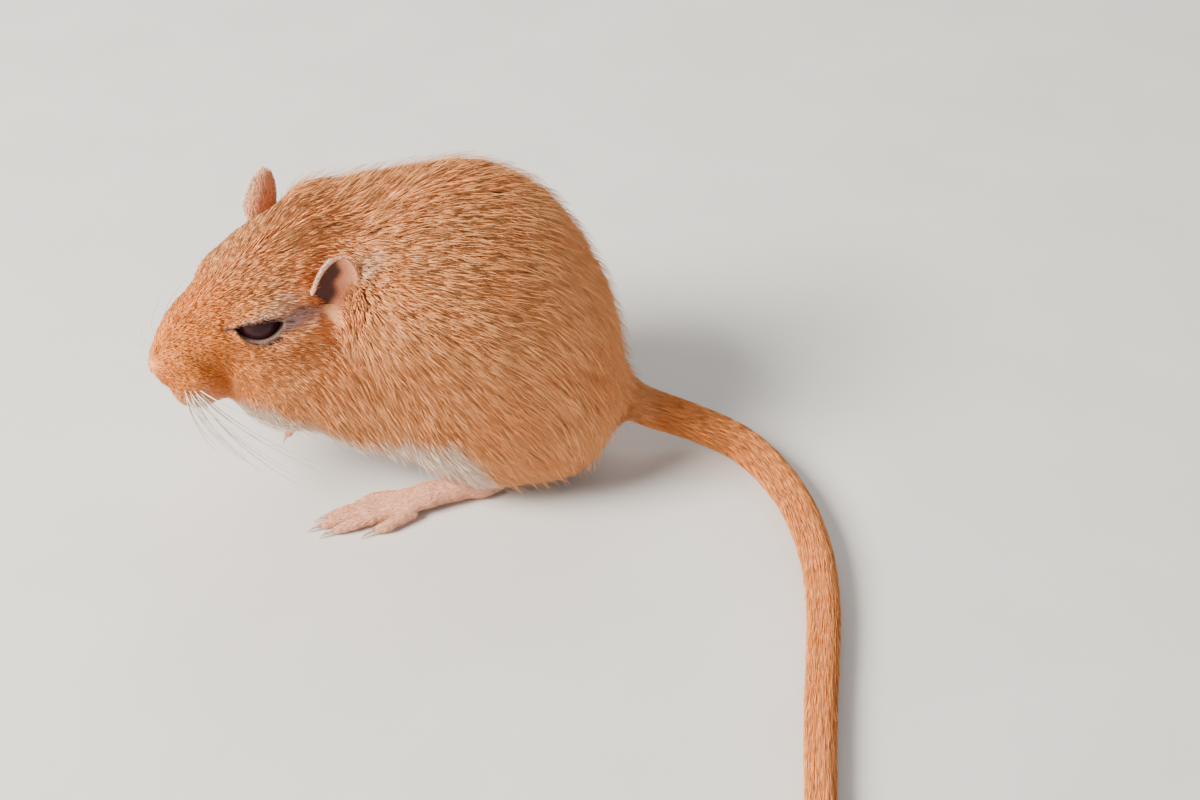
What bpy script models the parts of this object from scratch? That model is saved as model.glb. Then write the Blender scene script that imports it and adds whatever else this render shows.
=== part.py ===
"""A life-size golden gerbil, hunched on its hind feet with both forepaws tucked under the chest.

Lengths are millimetres in this file and metres in the meshes. While it is drawn, the gerbil's trunk faces -X,
its left side is -Y and the floor is z = 0. The last step centres its footprint on the origin.
"""

import math

import bmesh
import bpy
import numpy as np
from mathutils import Matrix, Vector

MM = 0.001
GAP = 0.3
SIDES = (("l", -1), ("r", 1))

# Driving sizes. Trunk and head are measured out to the tips of the coat.
TRUNK_LENGTH = 44.0
TRUNK_HEIGHT = 50.0
TRUNK_WIDTH = 41.0
HEAD_LENGTH = 33.0
HEAD_WIDTH = 23.4
HEAD_HEIGHT = 22.4
HEAD_CENTRE = (-31.6, -1.5, 32.0)
HEAD_YAW = math.radians(36)
HEAD_PITCH = math.radians(5)
HEAD_ROLL = math.radians(6)
EYE_RADIUS = 3.8
EYE_SPOT = (4.7, 4.5, 1.8)
EYE_OPENING = (3.9, 1.9)
LID_THICKNESS = 0.5
EAR_HEIGHT = 12.6
EAR_WIDTH = 7.6
EAR_THICKNESS = 0.8
EAR_LIFT = {"l": 0.0, "r": 1.2}
FOOT_WIDTH = 6.4
FOOT_HEIGHT = 4.4
TOE_RADIUS = 1.05
FINGER_RADIUS = 0.75
TAIL_ROOT_RADIUS = 4.4
TAIL_RADIUS = 3.1
TAIL_TIP_RADIUS = 2.2
TUFT_LOCKS = 14

TORSO_CELL = 4.0
HEAD_CELL = 1.5


def head_frame():
    """The head's own axes: x to the nose, y to the head's left and z to its crown."""
    forward = Vector((-math.cos(HEAD_YAW), -math.sin(HEAD_YAW), 0))
    left = Vector((math.sin(HEAD_YAW), -math.cos(HEAD_YAW), 0))
    crown = Vector((0, 0, 1))
    forward, crown = (
        forward * math.cos(HEAD_PITCH) - crown * math.sin(HEAD_PITCH),
        crown * math.cos(HEAD_PITCH) + forward * math.sin(HEAD_PITCH),
    )
    left, crown = (
        left * math.cos(HEAD_ROLL) - crown * math.sin(HEAD_ROLL),
        crown * math.cos(HEAD_ROLL) + left * math.sin(HEAD_ROLL),
    )
    turn = Matrix((forward, left, crown)).transposed().to_4x4()
    return Matrix.Translation(HEAD_CENTRE) @ turn


HEAD = head_frame()
WORLD = Matrix.Identity(4)

# Each form is a centre, three radii, its nose-down tilt and how softly it joins the forms before it.
TRUNK_FORMS = (
    ((-1.5, 3.5, 26.5), (TRUNK_LENGTH / 2, TRUNK_WIDTH / 2, TRUNK_HEIGHT / 2), 0.0, 1),
    ((7, 1, 20), (17, 17.5, 18.5), 0.0, 5),
    ((2, -8.5, 16), (14.5, 10.5, 13.5), 0.15, 5),
    ((2, 10.5, 16), (14.5, 10.5, 13.5), 0.15, 5),
    ((13.5, -3, 13.5), (9.5, 13, 11), 0.0, 5),
    ((-13.5, 8, 28), (15, 13.5, 20), 0.0, 4),
    ((-13, 0, 16.5), (15.5, 14.5, 12), 0.0, 4),
    ((-23.5, 9.5, 30), (10.5, 10, 15), 0.0, 4),
    ((-20, -1, 20), (10, 11, 10), 0.0, 4),
    ((-28, -2.5, 19), (10, 11, 9), 0.0, 3),
)
HEAD_FORMS = (
    ((-4, 0, 0.3), (14.5, 12, 11.6), 0.0, 1),
    ((1, -5.6, -6.8), (10, 7, 8.2), 0.0, 3),
    ((1, 5.6, -6.8), (10, 7, 8.2), 0.0, 3),
    ((8.5, 0, -0.2), (11.5, 6.8, 6.6), 0.25, 4),
    ((14, 0, -4.4), (6.6, 4.8, 4.6), 0.1, 3),
    ((14.5, -2.8, -6.6), (5.2, 3.4, 4.0), 0.0, 2),
    ((14.5, 2.8, -6.6), (5.2, 3.4, 4.0), 0.0, 2),
    ((18.8, 0, -4.3), (3.1, 2.8, 2.8), 0.0, 2),
    ((6.5, 0, -9.8), (9, 6.4, 4.9), -0.1, 2),
)
HAUNCH = ((3, 13, 15.5), (15.5, 10.5, 15), 0.15)
SHOULDER = ((-15, 13.5, 21), (9, 8, 12), 0.1)


def material(name, colour, roughness):
    made = bpy.data.materials.new(name)
    made.use_nodes = True
    shader = made.node_tree.nodes["Principled BSDF"]
    shader.inputs["Base Color"].default_value = (*colour, 1)
    shader.inputs["Roughness"].default_value = roughness
    made.diffuse_color = (*colour, 1)
    return made


def mesh_object(name, points, faces, finish=None):
    """An object from points in millimetres, with its faces turned outwards."""
    mesh = bpy.data.meshes.new(name)
    mesh.from_pydata([tuple(value * MM for value in point) for point in points], [], faces)
    made = bpy.data.objects.new(name, mesh)
    bpy.context.scene.collection.objects.link(made)
    if finish:
        mesh.materials.append(finish)
    work = bmesh.new()
    work.from_mesh(mesh)
    bmesh.ops.recalc_face_normals(work, faces=work.faces)
    if work.calc_volume(signed=True) < 0:
        bmesh.ops.reverse_faces(work, faces=work.faces)
    work.to_mesh(mesh)
    work.free()
    return made


def smooth_min(a, b, softness):
    blend = np.maximum(softness - np.abs(a - b), 0) / softness
    return np.minimum(a, b) - blend * blend * softness / 4


def ellipsoid_distance(points, frame, centre, radii, tilt):
    """About how far points lie outside an ellipsoid. It is negative inside."""
    place = frame @ Matrix.Translation(centre) @ Matrix.Rotation(tilt, 4, "Y")
    matrix = np.array(place.inverted())
    local = points @ matrix[:3, :3].T + matrix[:3, 3]
    scaled = np.linalg.norm(local / radii, axis=1)
    slope = np.linalg.norm(local / np.square(radii), axis=1)
    return scaled * (scaled - 1) / np.maximum(slope, 1e-9)


def blended(points, frame, forms):
    total = None
    for centre, radii, tilt, softness in forms:
        distance = ellipsoid_distance(points, frame, centre, radii, tilt)
        total = distance if total is None else smooth_min(total, distance, softness)
    return total


def head_forms():
    stretch = (HEAD_LENGTH / 37, HEAD_WIDTH / 25, HEAD_HEIGHT / 24)
    return [
        ([a * s for a, s in zip(centre, stretch)], [a * s for a, s in zip(radii, stretch)], tilt, softness)
        for centre, radii, tilt, softness in HEAD_FORMS
    ]


def body_field(points):
    """Below zero inside the trunk and head, which run into each other at the neck."""
    trunk = blended(points, WORLD, TRUNK_FORMS)
    return smooth_min(trunk, blended(points, HEAD, head_forms()), 4.5)


def settle(points, field, turns):
    """Moves points onto the field's surface."""
    step = 0.05
    for _ in range(turns):
        value = field(points)
        slope = np.stack([(field(points + axis * step) - value) / step for axis in np.eye(3)], axis=1)
        points = points - slope * (value / np.maximum((slope * slope).sum(axis=1), 1e-6))[:, None]
    return points


def surface_of(field, low, high, cell):
    """Points and four-sided faces of the surface where field is zero, one point for each cell it crosses."""
    axes = [np.arange(a, b + cell, cell) for a, b in zip(low, high)]
    grid = np.stack(np.meshgrid(*axes, indexing="ij"), axis=-1)
    value = field(grid.reshape(-1, 3)).reshape(grid.shape[:3])
    total = np.zeros(grid.shape)
    count = np.zeros(grid.shape[:3])
    crossings = []
    for axis in range(3):
        first, second = np.moveaxis(value, axis, 0)[:-1], np.moveaxis(value, axis, 0)[1:]
        cut = np.argwhere((first < 0) != (second < 0))
        cut[:, [0, axis]] = cut[:, [axis, 0]] if axis == 1 else cut[:, [0, axis]]
        if axis == 2:
            cut = cut[:, [1, 2, 0]]
        here = value[tuple(cut.T)]
        there = value[tuple((cut + np.eye(3, dtype=int)[axis]).T)]
        share = here / (here - there)
        spot = grid[tuple(cut.T)] + np.eye(3)[axis] * (share * cell)[:, None]
        u, v = np.eye(3, dtype=int)[(axis + 1) % 3], np.eye(3, dtype=int)[(axis + 2) % 3]
        corners = [cut, cut - u, cut - u - v, cut - v]
        for corner in corners:
            np.add.at(total, tuple(corner.T), spot)
            np.add.at(count, tuple(corner.T), 1)
        crossings.append((corners, here < 0))
    used = count > 0
    index = np.full(count.shape, -1)
    index[used] = np.arange(used.sum())
    points = total[used] / count[used][:, None]
    faces = []
    for corners, outward in crossings:
        quads = np.stack([index[tuple(corner.T)] for corner in corners], axis=1)
        faces.append(np.where(outward[:, None], quads, quads[:, ::-1]))
    return points, np.concatenate(faces)


def solid_of(name, field, low, high, cell, finish=None):
    """A closed, evenly meshed solid of the space where field is below zero."""
    points, faces = surface_of(field, low, high, cell)
    ends = np.concatenate([faces[:, [0, 1]], faces[:, [1, 2]], faces[:, [2, 3]], faces[:, [3, 0]]])
    for _ in range(6):
        points = settle(points, field, 2)
        near = np.zeros(points.shape)
        count = np.zeros(len(points))
        np.add.at(near, ends[:, 0], points[ends[:, 1]])
        np.add.at(count, ends[:, 0], 1)
        points = (points + near / count[:, None]) / 2
    points = settle(points, field, 3)
    return mesh_object(name, points.tolist(), faces.tolist(), finish)


def keep_side(made, point, normal):
    """Cuts an object with a plane, keeps the side that normal points away from, and closes the cut."""
    work = bmesh.new()
    work.from_mesh(made.data)
    cut = bmesh.ops.bisect_plane(
        work,
        geom=[*work.verts, *work.edges, *work.faces],
        dist=1e-7,
        plane_co=Vector(point) * MM,
        plane_no=Vector(normal).normalized(),
        clear_outer=True,
    )
    edges = [part for part in cut["geom_cut"] if isinstance(part, bmesh.types.BMEdge)]
    if edges:
        bmesh.ops.contextual_create(work, geom=edges)
    work.to_mesh(made.data)
    work.free()


def copy_of(made, name):
    twin = made.copy()
    twin.data = made.data.copy()
    twin.name = name
    bpy.context.scene.collection.objects.link(twin)
    return twin


def combine(made, others, operation, drop=True, solver="MANIFOLD"):
    """Applies a Boolean with each of the others in turn, and removes them."""
    for other in others:
        modifier = made.modifiers.new(operation, "BOOLEAN")
        modifier.operation = operation
        modifier.object = other
        modifier.solver = solver
        bpy.context.view_layer.update()
        graph = bpy.context.evaluated_depsgraph_get()
        result = bpy.data.meshes.new_from_object(made.evaluated_get(graph))
        made.modifiers.clear()
        result.name = made.data.name
        made.data = result
        if drop:
            bpy.data.objects.remove(other, do_unlink=True)
    keep_largest(made)


def keep_largest(made):
    """Drops loose crumbs, so that one closed body is left."""
    work = bmesh.new()
    work.from_mesh(made.data)
    bmesh.ops.remove_doubles(work, verts=work.verts, dist=1e-7)
    left = set(work.verts)
    groups = []
    while left:
        group = {left.pop()}
        front = set(group)
        while front:
            front = {edge.other_vert(vert) for vert in front for edge in vert.link_edges} - group
            group |= front
        left -= group
        groups.append(group)
    biggest = max(groups, key=len)
    spare = [vert for group in groups if group is not biggest for vert in group]
    bmesh.ops.delete(work, geom=spare, context="VERTS")
    work.to_mesh(made.data)
    work.free()


def ellipsoid(name, frame, form, grow=0.0, segments=24):
    centre, radii, tilt = form[:3]
    work = bmesh.new()
    bmesh.ops.create_uvsphere(work, u_segments=segments, v_segments=segments // 2, radius=1)
    place = frame @ Matrix.Translation(centre) @ Matrix.Rotation(tilt, 4, "Y")
    for vert in work.verts:
        vert.co = place @ Vector([co * (radius + grow) for co, radius in zip(vert.co, radii)]) * MM
    mesh = bpy.data.meshes.new(name)
    work.to_mesh(mesh)
    work.free()
    made = bpy.data.objects.new(name, mesh)
    bpy.context.scene.collection.objects.link(made)
    return made


def mirrored(form, side):
    centre, radii, tilt = form
    return (centre[0], centre[1] * side, centre[2]), radii, tilt


def tube(name, path, sizes, finish=None, sides=10, floor=None, up=(0, 0, 1)):
    """A rounded bar along path. sizes holds the half width and half height at each point."""
    path = [Vector(point) for point in path]
    points, faces = [], []
    for i, (centre, (width, height)) in enumerate(zip(path, sizes)):
        along = (path[min(i + 1, len(path) - 1)] - path[max(i - 1, 0)]).normalized()
        side = along.cross(Vector(up)).normalized()
        over = side.cross(along).normalized()
        for j in range(sides):
            angle = 2 * math.pi * (j + 0.5) / sides
            point = centre + side * (width * math.cos(angle)) + over * (height * math.sin(angle))
            if floor is not None:
                point.z = max(point.z, floor)
            points.append(point)
    for i in range(len(path) - 1):
        for j in range(sides):
            k = (j + 1) % sides
            a, b = i * sides, (i + 1) * sides
            faces.append((a + j, a + k, b + k, b + j))
    faces.append(tuple(range(sides)))
    faces.append(tuple(range((len(path) - 1) * sides, len(path) * sides)))
    return mesh_object(name, points, faces, finish)


def rounded(path, sizes, blunt=(True, True)):
    """The same bar with its ends drawn in, so that they look round."""
    path = [Vector(point) for point in path]
    sizes = [tuple(size) for size in sizes]
    for end, wanted in ((0, blunt[0]), (-1, blunt[1])):
        if not wanted:
            continue
        last, before = path[end], path[1 if end == 0 else -2]
        outward = (last - before).normalized()
        width, height = sizes[end]
        reach = min(width, height)
        extra = [(last + outward * reach * a, (width * b, height * b)) for a, b in ((0.45, 0.85), (0.8, 0.5))]
        if end == 0:
            path = [spot for spot, _ in reversed(extra)] + path
            sizes = [size for _, size in reversed(extra)] + sizes
        else:
            path += [spot for spot, _ in extra]
            sizes += [size for _, size in extra]
    return path, sizes


def curve_through(points, count):
    """count evenly spaced points of a smooth curve through points, and each one's share of the way."""
    points = [Vector(point) for point in points]
    padded = [points[0] * 2 - points[1], *points, points[-1] * 2 - points[-2]]
    fine = []
    for i in range(1, len(padded) - 2):
        before, start, end, after = padded[i - 1 : i + 3]
        for step in range(24):
            t = step / 24
            fine.append(
                (
                    start * 2
                    + (end - before) * t
                    + (before * 2 - start * 5 + end * 4 - after) * t * t
                    + (start * 3 - before - end * 3 + after) * t**3
                )
                / 2
            )
    fine.append(points[-1])
    lengths = [0.0]
    for a, b in zip(fine, fine[1:]):
        lengths.append(lengths[-1] + (b - a).length)
    spots = []
    for i in range(count):
        goal = lengths[-1] * i / (count - 1)
        k = min(max(np.searchsorted(lengths, goal) - 1, 0), len(fine) - 2)
        share = (goal - lengths[k]) / max(lengths[k + 1] - lengths[k], 1e-9)
        spots.append(fine[k].lerp(fine[k + 1], share))
    return spots, lengths[-1]


def smooth_shading(made):
    made.data.shade_smooth()
    made.data.set_sharp_from_angle(angle=math.radians(50))


def head_planes():
    """A point and an outward normal for the cut behind the skull and for the one below the jaw."""
    behind = (Vector((-24.5, 5.5, 31.0)), Vector((0.90, 0.32, -0.28)).normalized())
    below = (Vector((-36.0, -6.0, 18.0)), Vector((0.16, 0.1, -0.98)).normalized())
    return behind, below


def head_block(grow):
    """The space between the head's two planes, moved outwards by grow, as a large four-sided block."""
    (skull, behind), (jaw, below) = head_planes()
    edge = behind.cross(below).normalized()
    upward = behind.cross(edge)
    upward *= -1 if upward.dot(below) > 0 else 1
    forward = below.cross(edge)
    forward *= -1 if forward.dot(behind) > 0 else 1
    skull, jaw = skull + behind * grow, jaw + below * grow
    corner = skull - upward * ((skull - jaw).dot(below) / upward.dot(below))
    loop = (corner, corner + upward * 70, corner + (upward + forward) * 70, corner + forward * 70)
    points = [spot + edge * reach for reach in (-60, 60) for spot in loop]
    faces = [(0, 1, 2, 3), (4, 5, 6, 7)] + [(i, (i + 1) % 4, 4 + (i + 1) % 4, 4 + i) for i in range(4)]
    return mesh_object("block", points, faces)


def make_body(coat):
    """Torso, neck and head from one blended form."""
    trunk, trunk_normal = Vector((-18.5, 2.0, 31.0)), Vector((-0.94, -0.18, 0.28)).normalized()
    low, high = (-62, -30, -3), (36, 30, 60)
    torso = solid_of("torso", body_field, (-48, -30, -3), high, TORSO_CELL, coat)
    keep_side(torso, trunk, trunk_normal)
    keep_side(torso, (0, 0, 0), (0, 0, -1))
    keep_largest(torso)
    neck = solid_of("neck", body_field, low, (-2, 30, 60), 2.6, coat)
    keep_side(neck, trunk + trunk_normal * GAP, -trunk_normal)
    combine(neck, [head_block(GAP)], "DIFFERENCE")
    head = solid_of("head", body_field, low, (-10, 30, 60), HEAD_CELL, coat)
    for point, normal in head_planes():
        keep_side(head, point, normal)
    keep_largest(head)
    return torso, neck, head


def carve_limbs(torso, neck, coat):
    """Haunches and shoulders, each parted from the trunk by a thin gap."""
    whole = {}
    for label, side in SIDES:
        for part, form in (("haunch", HAUNCH), ("shoulder", SHOULDER)):
            limb = copy_of(torso, f"{part}_{label}")
            combine(limb, [ellipsoid("volume", WORLD, mirrored(form, side))], "INTERSECT")
            if part == "shoulder":
                combine(limb, [ellipsoid("volume", WORLD, mirrored(HAUNCH, side), GAP)], "DIFFERENCE")
            whole[limb.name] = limb
    for label, side in SIDES:
        for form in (HAUNCH, SHOULDER):
            combine(torso, [ellipsoid("volume", WORLD, mirrored(form, side), GAP)], "DIFFERENCE")
    return whole


def make_eyes(head, eye_finish):
    """Eyeballs in sockets, under lids that leave an almond-shaped opening."""
    for label, side in SIDES:
        side = -side
        spot = Vector((EYE_SPOT[0], EYE_SPOT[1] * side, EYE_SPOT[2]))
        ball = ((spot.x, spot.y, spot.z), (EYE_RADIUS,) * 3, 0.0)
        combine(head, [ellipsoid("lids", HEAD, ball, GAP + LID_THICKNESS, 20)], "UNION")
        socket = ellipsoid("socket", HEAD, ball, GAP, 20)
        outward = Vector((0.34, 0.9 * side, 0.27)).normalized()
        along = Vector((0.95, -0.3 * side, -0.04))
        along = (along - outward * along.dot(outward)).normalized()
        over = outward.cross(along) * (1 if side < 0 else -1)
        over = over if over.z > 0 else -over
        rings = []
        for depth in (0.3, 3.0):
            for j in range(24):
                angle = 2 * math.pi * j / 24
                across, tall = math.cos(angle), math.sin(angle)
                point = spot + outward * EYE_RADIUS * depth
                rise = over * EYE_OPENING[1] * tall * (1 - 0.25 * across * across)
                point += along * EYE_OPENING[0] * across + rise
                rings.append(HEAD @ point)
        faces = [(j, (j + 1) % 24, 24 + (j + 1) % 24, 24 + j) for j in range(24)]
        faces += [tuple(range(24)), tuple(range(24, 48))]
        combine(head, [socket, mesh_object("opening", rings, faces)], "DIFFERENCE")
        eye = ellipsoid(f"eye_{label}", HEAD, ball, segments=18)
        eye.data.materials.append(eye_finish)


def head_surface(direction, outward=0.0):
    """The head's outline seen from inside the snout along direction, moved outward by so much."""
    inside = Vector((15.5, 0, -4.6))
    direction = Vector(direction).normalized()
    low, high = 0.0, 14.0
    for _ in range(30):
        middle = (low + high) / 2
        spot = HEAD @ (inside + direction * middle)
        if body_field(np.array([spot]))[0] < 0:
            low = middle
        else:
            high = middle
    return HEAD @ (inside + direction * (low + outward))


def make_muzzle(head):
    """Nostrils, the split below the nose and the line of the mouth."""
    for side in (-1, 1):
        course = ((1, 0.22, 0.26, 0.2), (1, 0.42, 0.24, 0.0), (1, 0.62, 0.12, 0.0), (1, 0.8, 0.0, 0.25))
        path = [head_surface((x, y * side, z), out) for x, y, z, out in course]
        slit = tube("nostril", path, [(0.3, 0.5), (0.42, 0.7), (0.4, 0.6), (0.25, 0.4)], sides=8)
        combine(head, [slit], "DIFFERENCE")
    half = ((-0.5, 0.85, -0.75), (0, 0.62, -0.9), (0.5, 0.34, -0.86), (1, 0.04, -0.66))
    course = [*half, *((x, -y, z) for x, y, z in reversed(half))]
    sizes = [(0.8, 0.25), (1.2, 0.28), (1.4, 0.3), (1.4, 0.3)]
    path = [head_surface(direction) for direction in course]
    slot = tube("mouth", path, [*sizes, *reversed(sizes)], sides=8, up=HEAD.to_3x3() @ Vector((0.5, 0, 1)))
    combine(head, [slot], "DIFFERENCE")
    path = [head_surface((1, 0, z), 0.1) for z in (-0.1, -0.3, -0.52)]
    split = tube("split", path, [(0.25, 0.5)] * 3, sides=8, up=HEAD.to_3x3() @ Vector((1, 0, 0)))
    combine(head, [split], "DIFFERENCE")


def room_near(name, centre, reach, cell):
    """The body grown by a little more than the gap, as far as reach from centre.

    It trims what grows from the body.
    """

    def field(points):
        away = np.linalg.norm(points - np.array(centre), axis=1) - reach
        return -smooth_min(GAP + 0.12 - body_field(points), -away, 3)

    low = [value - reach - 2 for value in centre]
    high = [value + reach + 2 for value in centre]
    return solid_of(name, field, low, high, cell)


def make_ears(head_room, skin):
    """Cupped ears, open forwards and outwards."""
    for label, side in SIDES:
        side = -side
        base = Vector((-5.2, 11.3 * side, EAR_LIFT[label]))
        rise = Vector((-0.24, 0.16 * side, 0.96)).normalized()
        mouth = Vector((0.42, 0.9 * side, 0.0))
        mouth = (mouth - rise * mouth.dot(rise)).normalized()
        across = rise.cross(mouth)
        rows, columns = 12, 14
        sheet = np.zeros((rows, columns, 3))
        for i in range(rows):
            v = i / (rows - 1)
            width = EAR_WIDTH / 2 * (0.72 + 0.28 * math.sin(min(v / 0.62, 1) * math.pi / 2))
            if v > 0.6:
                width *= math.sqrt(1 - ((v - 0.6) / 0.42) ** 2)
            spread = math.radians(112 - 34 * v)
            for j in range(columns):
                angle = spread * (2 * j / (columns - 1) - 1)
                point = base + rise * (EAR_HEIGHT * (v * 1.3 - 0.3)) + across * (width * math.sin(angle))
                point -= mouth * (width * (0.8 - 0.3 * v) * math.cos(angle) + 1.4 * v * v)
                sheet[i, j] = HEAD @ point
        down, over = np.gradient(sheet, axis=(0, 1))
        inward = np.cross(down, over)
        inward /= np.linalg.norm(inward, axis=2)[..., None]
        if (inward[5, 7] * np.array(HEAD.to_3x3() @ mouth)).sum() < 0:
            inward = -inward
        points = [*sheet.reshape(-1, 3), *(sheet + inward * EAR_THICKNESS).reshape(-1, 3)]
        inner = rows * columns
        faces = []
        for i in range(rows - 1):
            for j in range(columns - 1):
                a = i * columns + j
                loop = (a, a + 1, a + columns + 1, a + columns)
                faces.append(loop)
                faces.append(tuple(inner + k for k in reversed(loop)))
        rim = [j for j in range(columns)]
        rim += [i * columns + columns - 1 for i in range(1, rows)]
        rim += [(rows - 1) * columns + j for j in range(columns - 2, -1, -1)]
        rim += [i * columns for i in range(rows - 2, 0, -1)]
        for a, b in zip(rim, rim[1:] + rim[:1]):
            faces.append((b, a, inner + a, inner + b))
        ear = mesh_object(f"ear_{label}", points, faces, skin)
        combine(ear, [head_room], "DIFFERENCE", drop=False, solver="EXACT")
    bpy.data.objects.remove(head_room, do_unlink=True)


def make_claw(name, root, direction, length, radius, finish):
    """A curved cone that leaves root along direction and bends down, above the floor."""
    direction = Vector(direction).normalized()
    path, sizes = [], []
    for i in range(4):
        t = i / 3
        point = Vector(root) + direction * (length * t)
        point.z = max(point.z - length * 0.32 * t * t, 0.12)
        path.append(point)
        sizes.append((radius * (1 - 0.85 * t) * 0.8, radius * (1 - 0.85 * t)))
    return tube(name, path, sizes, finish, sides=6, floor=0.0)


def foot_frame(side):
    """A hind foot's own axes on the floor: x from heel to toes, y to the animal's outside."""
    heel = Vector((2.6, 9.6 * side, 0))
    angle = math.radians(19)
    forward = Vector((-math.cos(angle), math.sin(angle) * side, 0))
    outside = Vector((math.sin(angle), math.cos(angle) * side, 0))
    return Matrix((forward, outside, Vector((0, 0, 1)))).transposed().to_4x4(), heel


TOES = (
    # start across, end across, start along, length, height
    (-2.4, -3.3, 14.5, 5.6),
    (-1.3, -1.7, 17.0, 8.6),
    (0.1, 0.1, 17.4, 9.6),
    (1.5, 1.9, 17.0, 8.6),
    (2.5, 3.9, 13.5, 6.0),
)


def make_feet(skin, horn):
    feet = {}
    for label, side in SIDES:
        turn, heel = foot_frame(side)
        place = Matrix.Translation(heel) @ turn
        half = FOOT_WIDTH / 2
        path = [(0, 0, 2.0), (2, 0, 2.3), (6, 0, 2.5), (11, 0, 2.3), (15, 0, 1.8), (18.5, 0, 1.5)]
        sizes = [(half * 0.62, 2.4), (half * 0.72, 2.8), (half * 0.8, 2.9)]
        sizes += [(half * 0.95, 2.4), (half, 1.9), (half * 0.9, 1.4)]
        path, sizes = rounded(path, sizes)
        foot = tube(f"foot_{label}", [place @ Vector(p) for p in path], sizes, skin, sides=14, floor=0.0)
        toes = []
        for number, (start, end, along, length) in enumerate(TOES, 1):
            path = [
                (along, start, 1.25),
                (along + length * 0.35, start * 0.6 + end * 0.4, 1.35),
                (along + length * 0.7, end, 1.0),
                (along + length, end, 0.85),
            ]
            sizes = [(TOE_RADIUS * s, TOE_RADIUS * s) for s in (1.15, 1.1, 1.0, 0.95)]
            path, sizes = rounded(path, sizes)
            toes.append(tube("toe", [place @ Vector(p) for p in path], sizes, skin, sides=8, floor=0.0))
            tip = place @ Vector((along + length + TOE_RADIUS * 0.76 + GAP, end, 0.95))
            aim = turn.to_3x3() @ Vector((1, 0.04 * end, 0.0))
            make_claw(f"claw_{label}_{number}", tip, aim, 2.4, 0.5, horn)
        combine(foot, toes, "UNION")
        feet[f"foot_{label}"] = foot
    return feet


def foot_room(side):
    """A plain envelope round a hind foot, for clearing the belly."""
    turn, heel = foot_frame(side)
    place = Matrix.Translation(heel) @ turn
    half = FOOT_WIDTH / 2 + GAP + 0.2
    path = [(-3.2, 0, 1.5), (6, 0, 1.9), (14, 0, 1.6), (18, 0, 1.2), (31, 0, 0.8)]
    sizes = [(half * 0.9, 4.6), (half * 0.95, 4.5), (half + 0.4, 4.0), (half + 1.4, 3.4), (half + 1.8, 3.0)]
    return tube("room", [place @ Vector(p) for p in path], sizes, sides=18)


def make_arms(skin, horn):
    """Forearms and hands folded under the chest."""
    made = {}
    for label, side in SIDES:
        elbow, wrist = Vector((-12.5, 8.8 * side, 11.5)), Vector((-25.0, 5.0 * side, 11.5))
        path = [elbow, elbow.lerp(wrist, 0.5), wrist]
        girth = [(2.9, 3.2), (2.3, 2.5), (1.8, 1.9)]
        made[f"arm_{label}"] = tube(f"arm_{label}", path, girth, skin, sides=14)
        forward = (wrist - elbow).normalized()
        start = wrist + forward * (GAP + 0.05)
        knuckles = start + forward * 2.2 + Vector((-0.6, 0, -1.6))
        palm = [start, start + forward * 0.8, start + forward * 1.6 + Vector((-0.2, 0, -0.5)), knuckles]
        palm_path, palm_sizes = rounded(palm, [(1.6, 1.7), (1.8, 1.7), (2.0, 1.6), (2.1, 1.2)], (False, True))
        hand = tube(f"hand_{label}", palm_path, palm_sizes, skin, sides=12)
        across = forward.cross(Vector((0, 0, 1))).normalized()
        fingers = []
        for number, spread in enumerate((-1.45, -0.5, 0.5, 1.45), 1):
            root = knuckles + across * spread
            tip = root + forward * 2.6 + Vector((-0.3, 0, -2.6)) + across * spread * 0.45
            middle = root.lerp(tip, 0.5) + Vector((-0.35, 0, 0.5))
            path, sizes = rounded([root, middle, tip], [(FINGER_RADIUS * s,) * 2 for s in (1.05, 0.95, 0.85)])
            fingers.append(tube("finger", path, sizes, skin, sides=6))
            ahead = (tip - middle).normalized()
            claw = tip + ahead * (FINGER_RADIUS * 0.85 * 0.8 + GAP)
            make_claw(f"nail_{label}_{number}", claw, ahead, 1.6, 0.36, horn)
        combine(hand, fingers, "UNION")
        made[f"hand_{label}"] = hand
    return made


def arm_room(side):
    """A channel for a forearm and hand, open downwards, for clearing the chest."""
    elbow, wrist = Vector((-12.5, 8.8 * side, 11.5)), Vector((-25.0, 5.0 * side, 11.5))
    ahead = (wrist - elbow).normalized()
    lower = Vector((0, 0, -3.0))
    path = [elbow - ahead * 0.35, elbow.lerp(wrist, 0.5), wrist + ahead * 0.5, wrist + ahead * 6]
    sizes = [(4.0, 7.0), (3.3, 6.3), (3.2, 5.9), (3.1, 5.6)]
    return tube("room", [spot + lower for spot in path], sizes, sides=18)


TAIL_COURSE = (
    (15.0, 2.0, 12.0),
    (22.0, 2.1, 10.2),
    (29.0, 2.1, 7.6),
    (36.4, 1.4, 5.0),
    (43.6, -2.2, 3.4),
    (48.7, -10.2, 3.0),
    (51.6, -18.9, 2.9),
    (53.0, -29.0, 2.8),
    (52.8, -39.5, 2.7),
    (51.7, -49.6, 2.6),
    (50.3, -61.0, 2.5),
    (49.1, -74.7, 2.4),
    (49.0, -86.0, 2.2),
    (50.0, -97.0, 2.1),
    (51.5, -106.0, 2.1),
)


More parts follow.
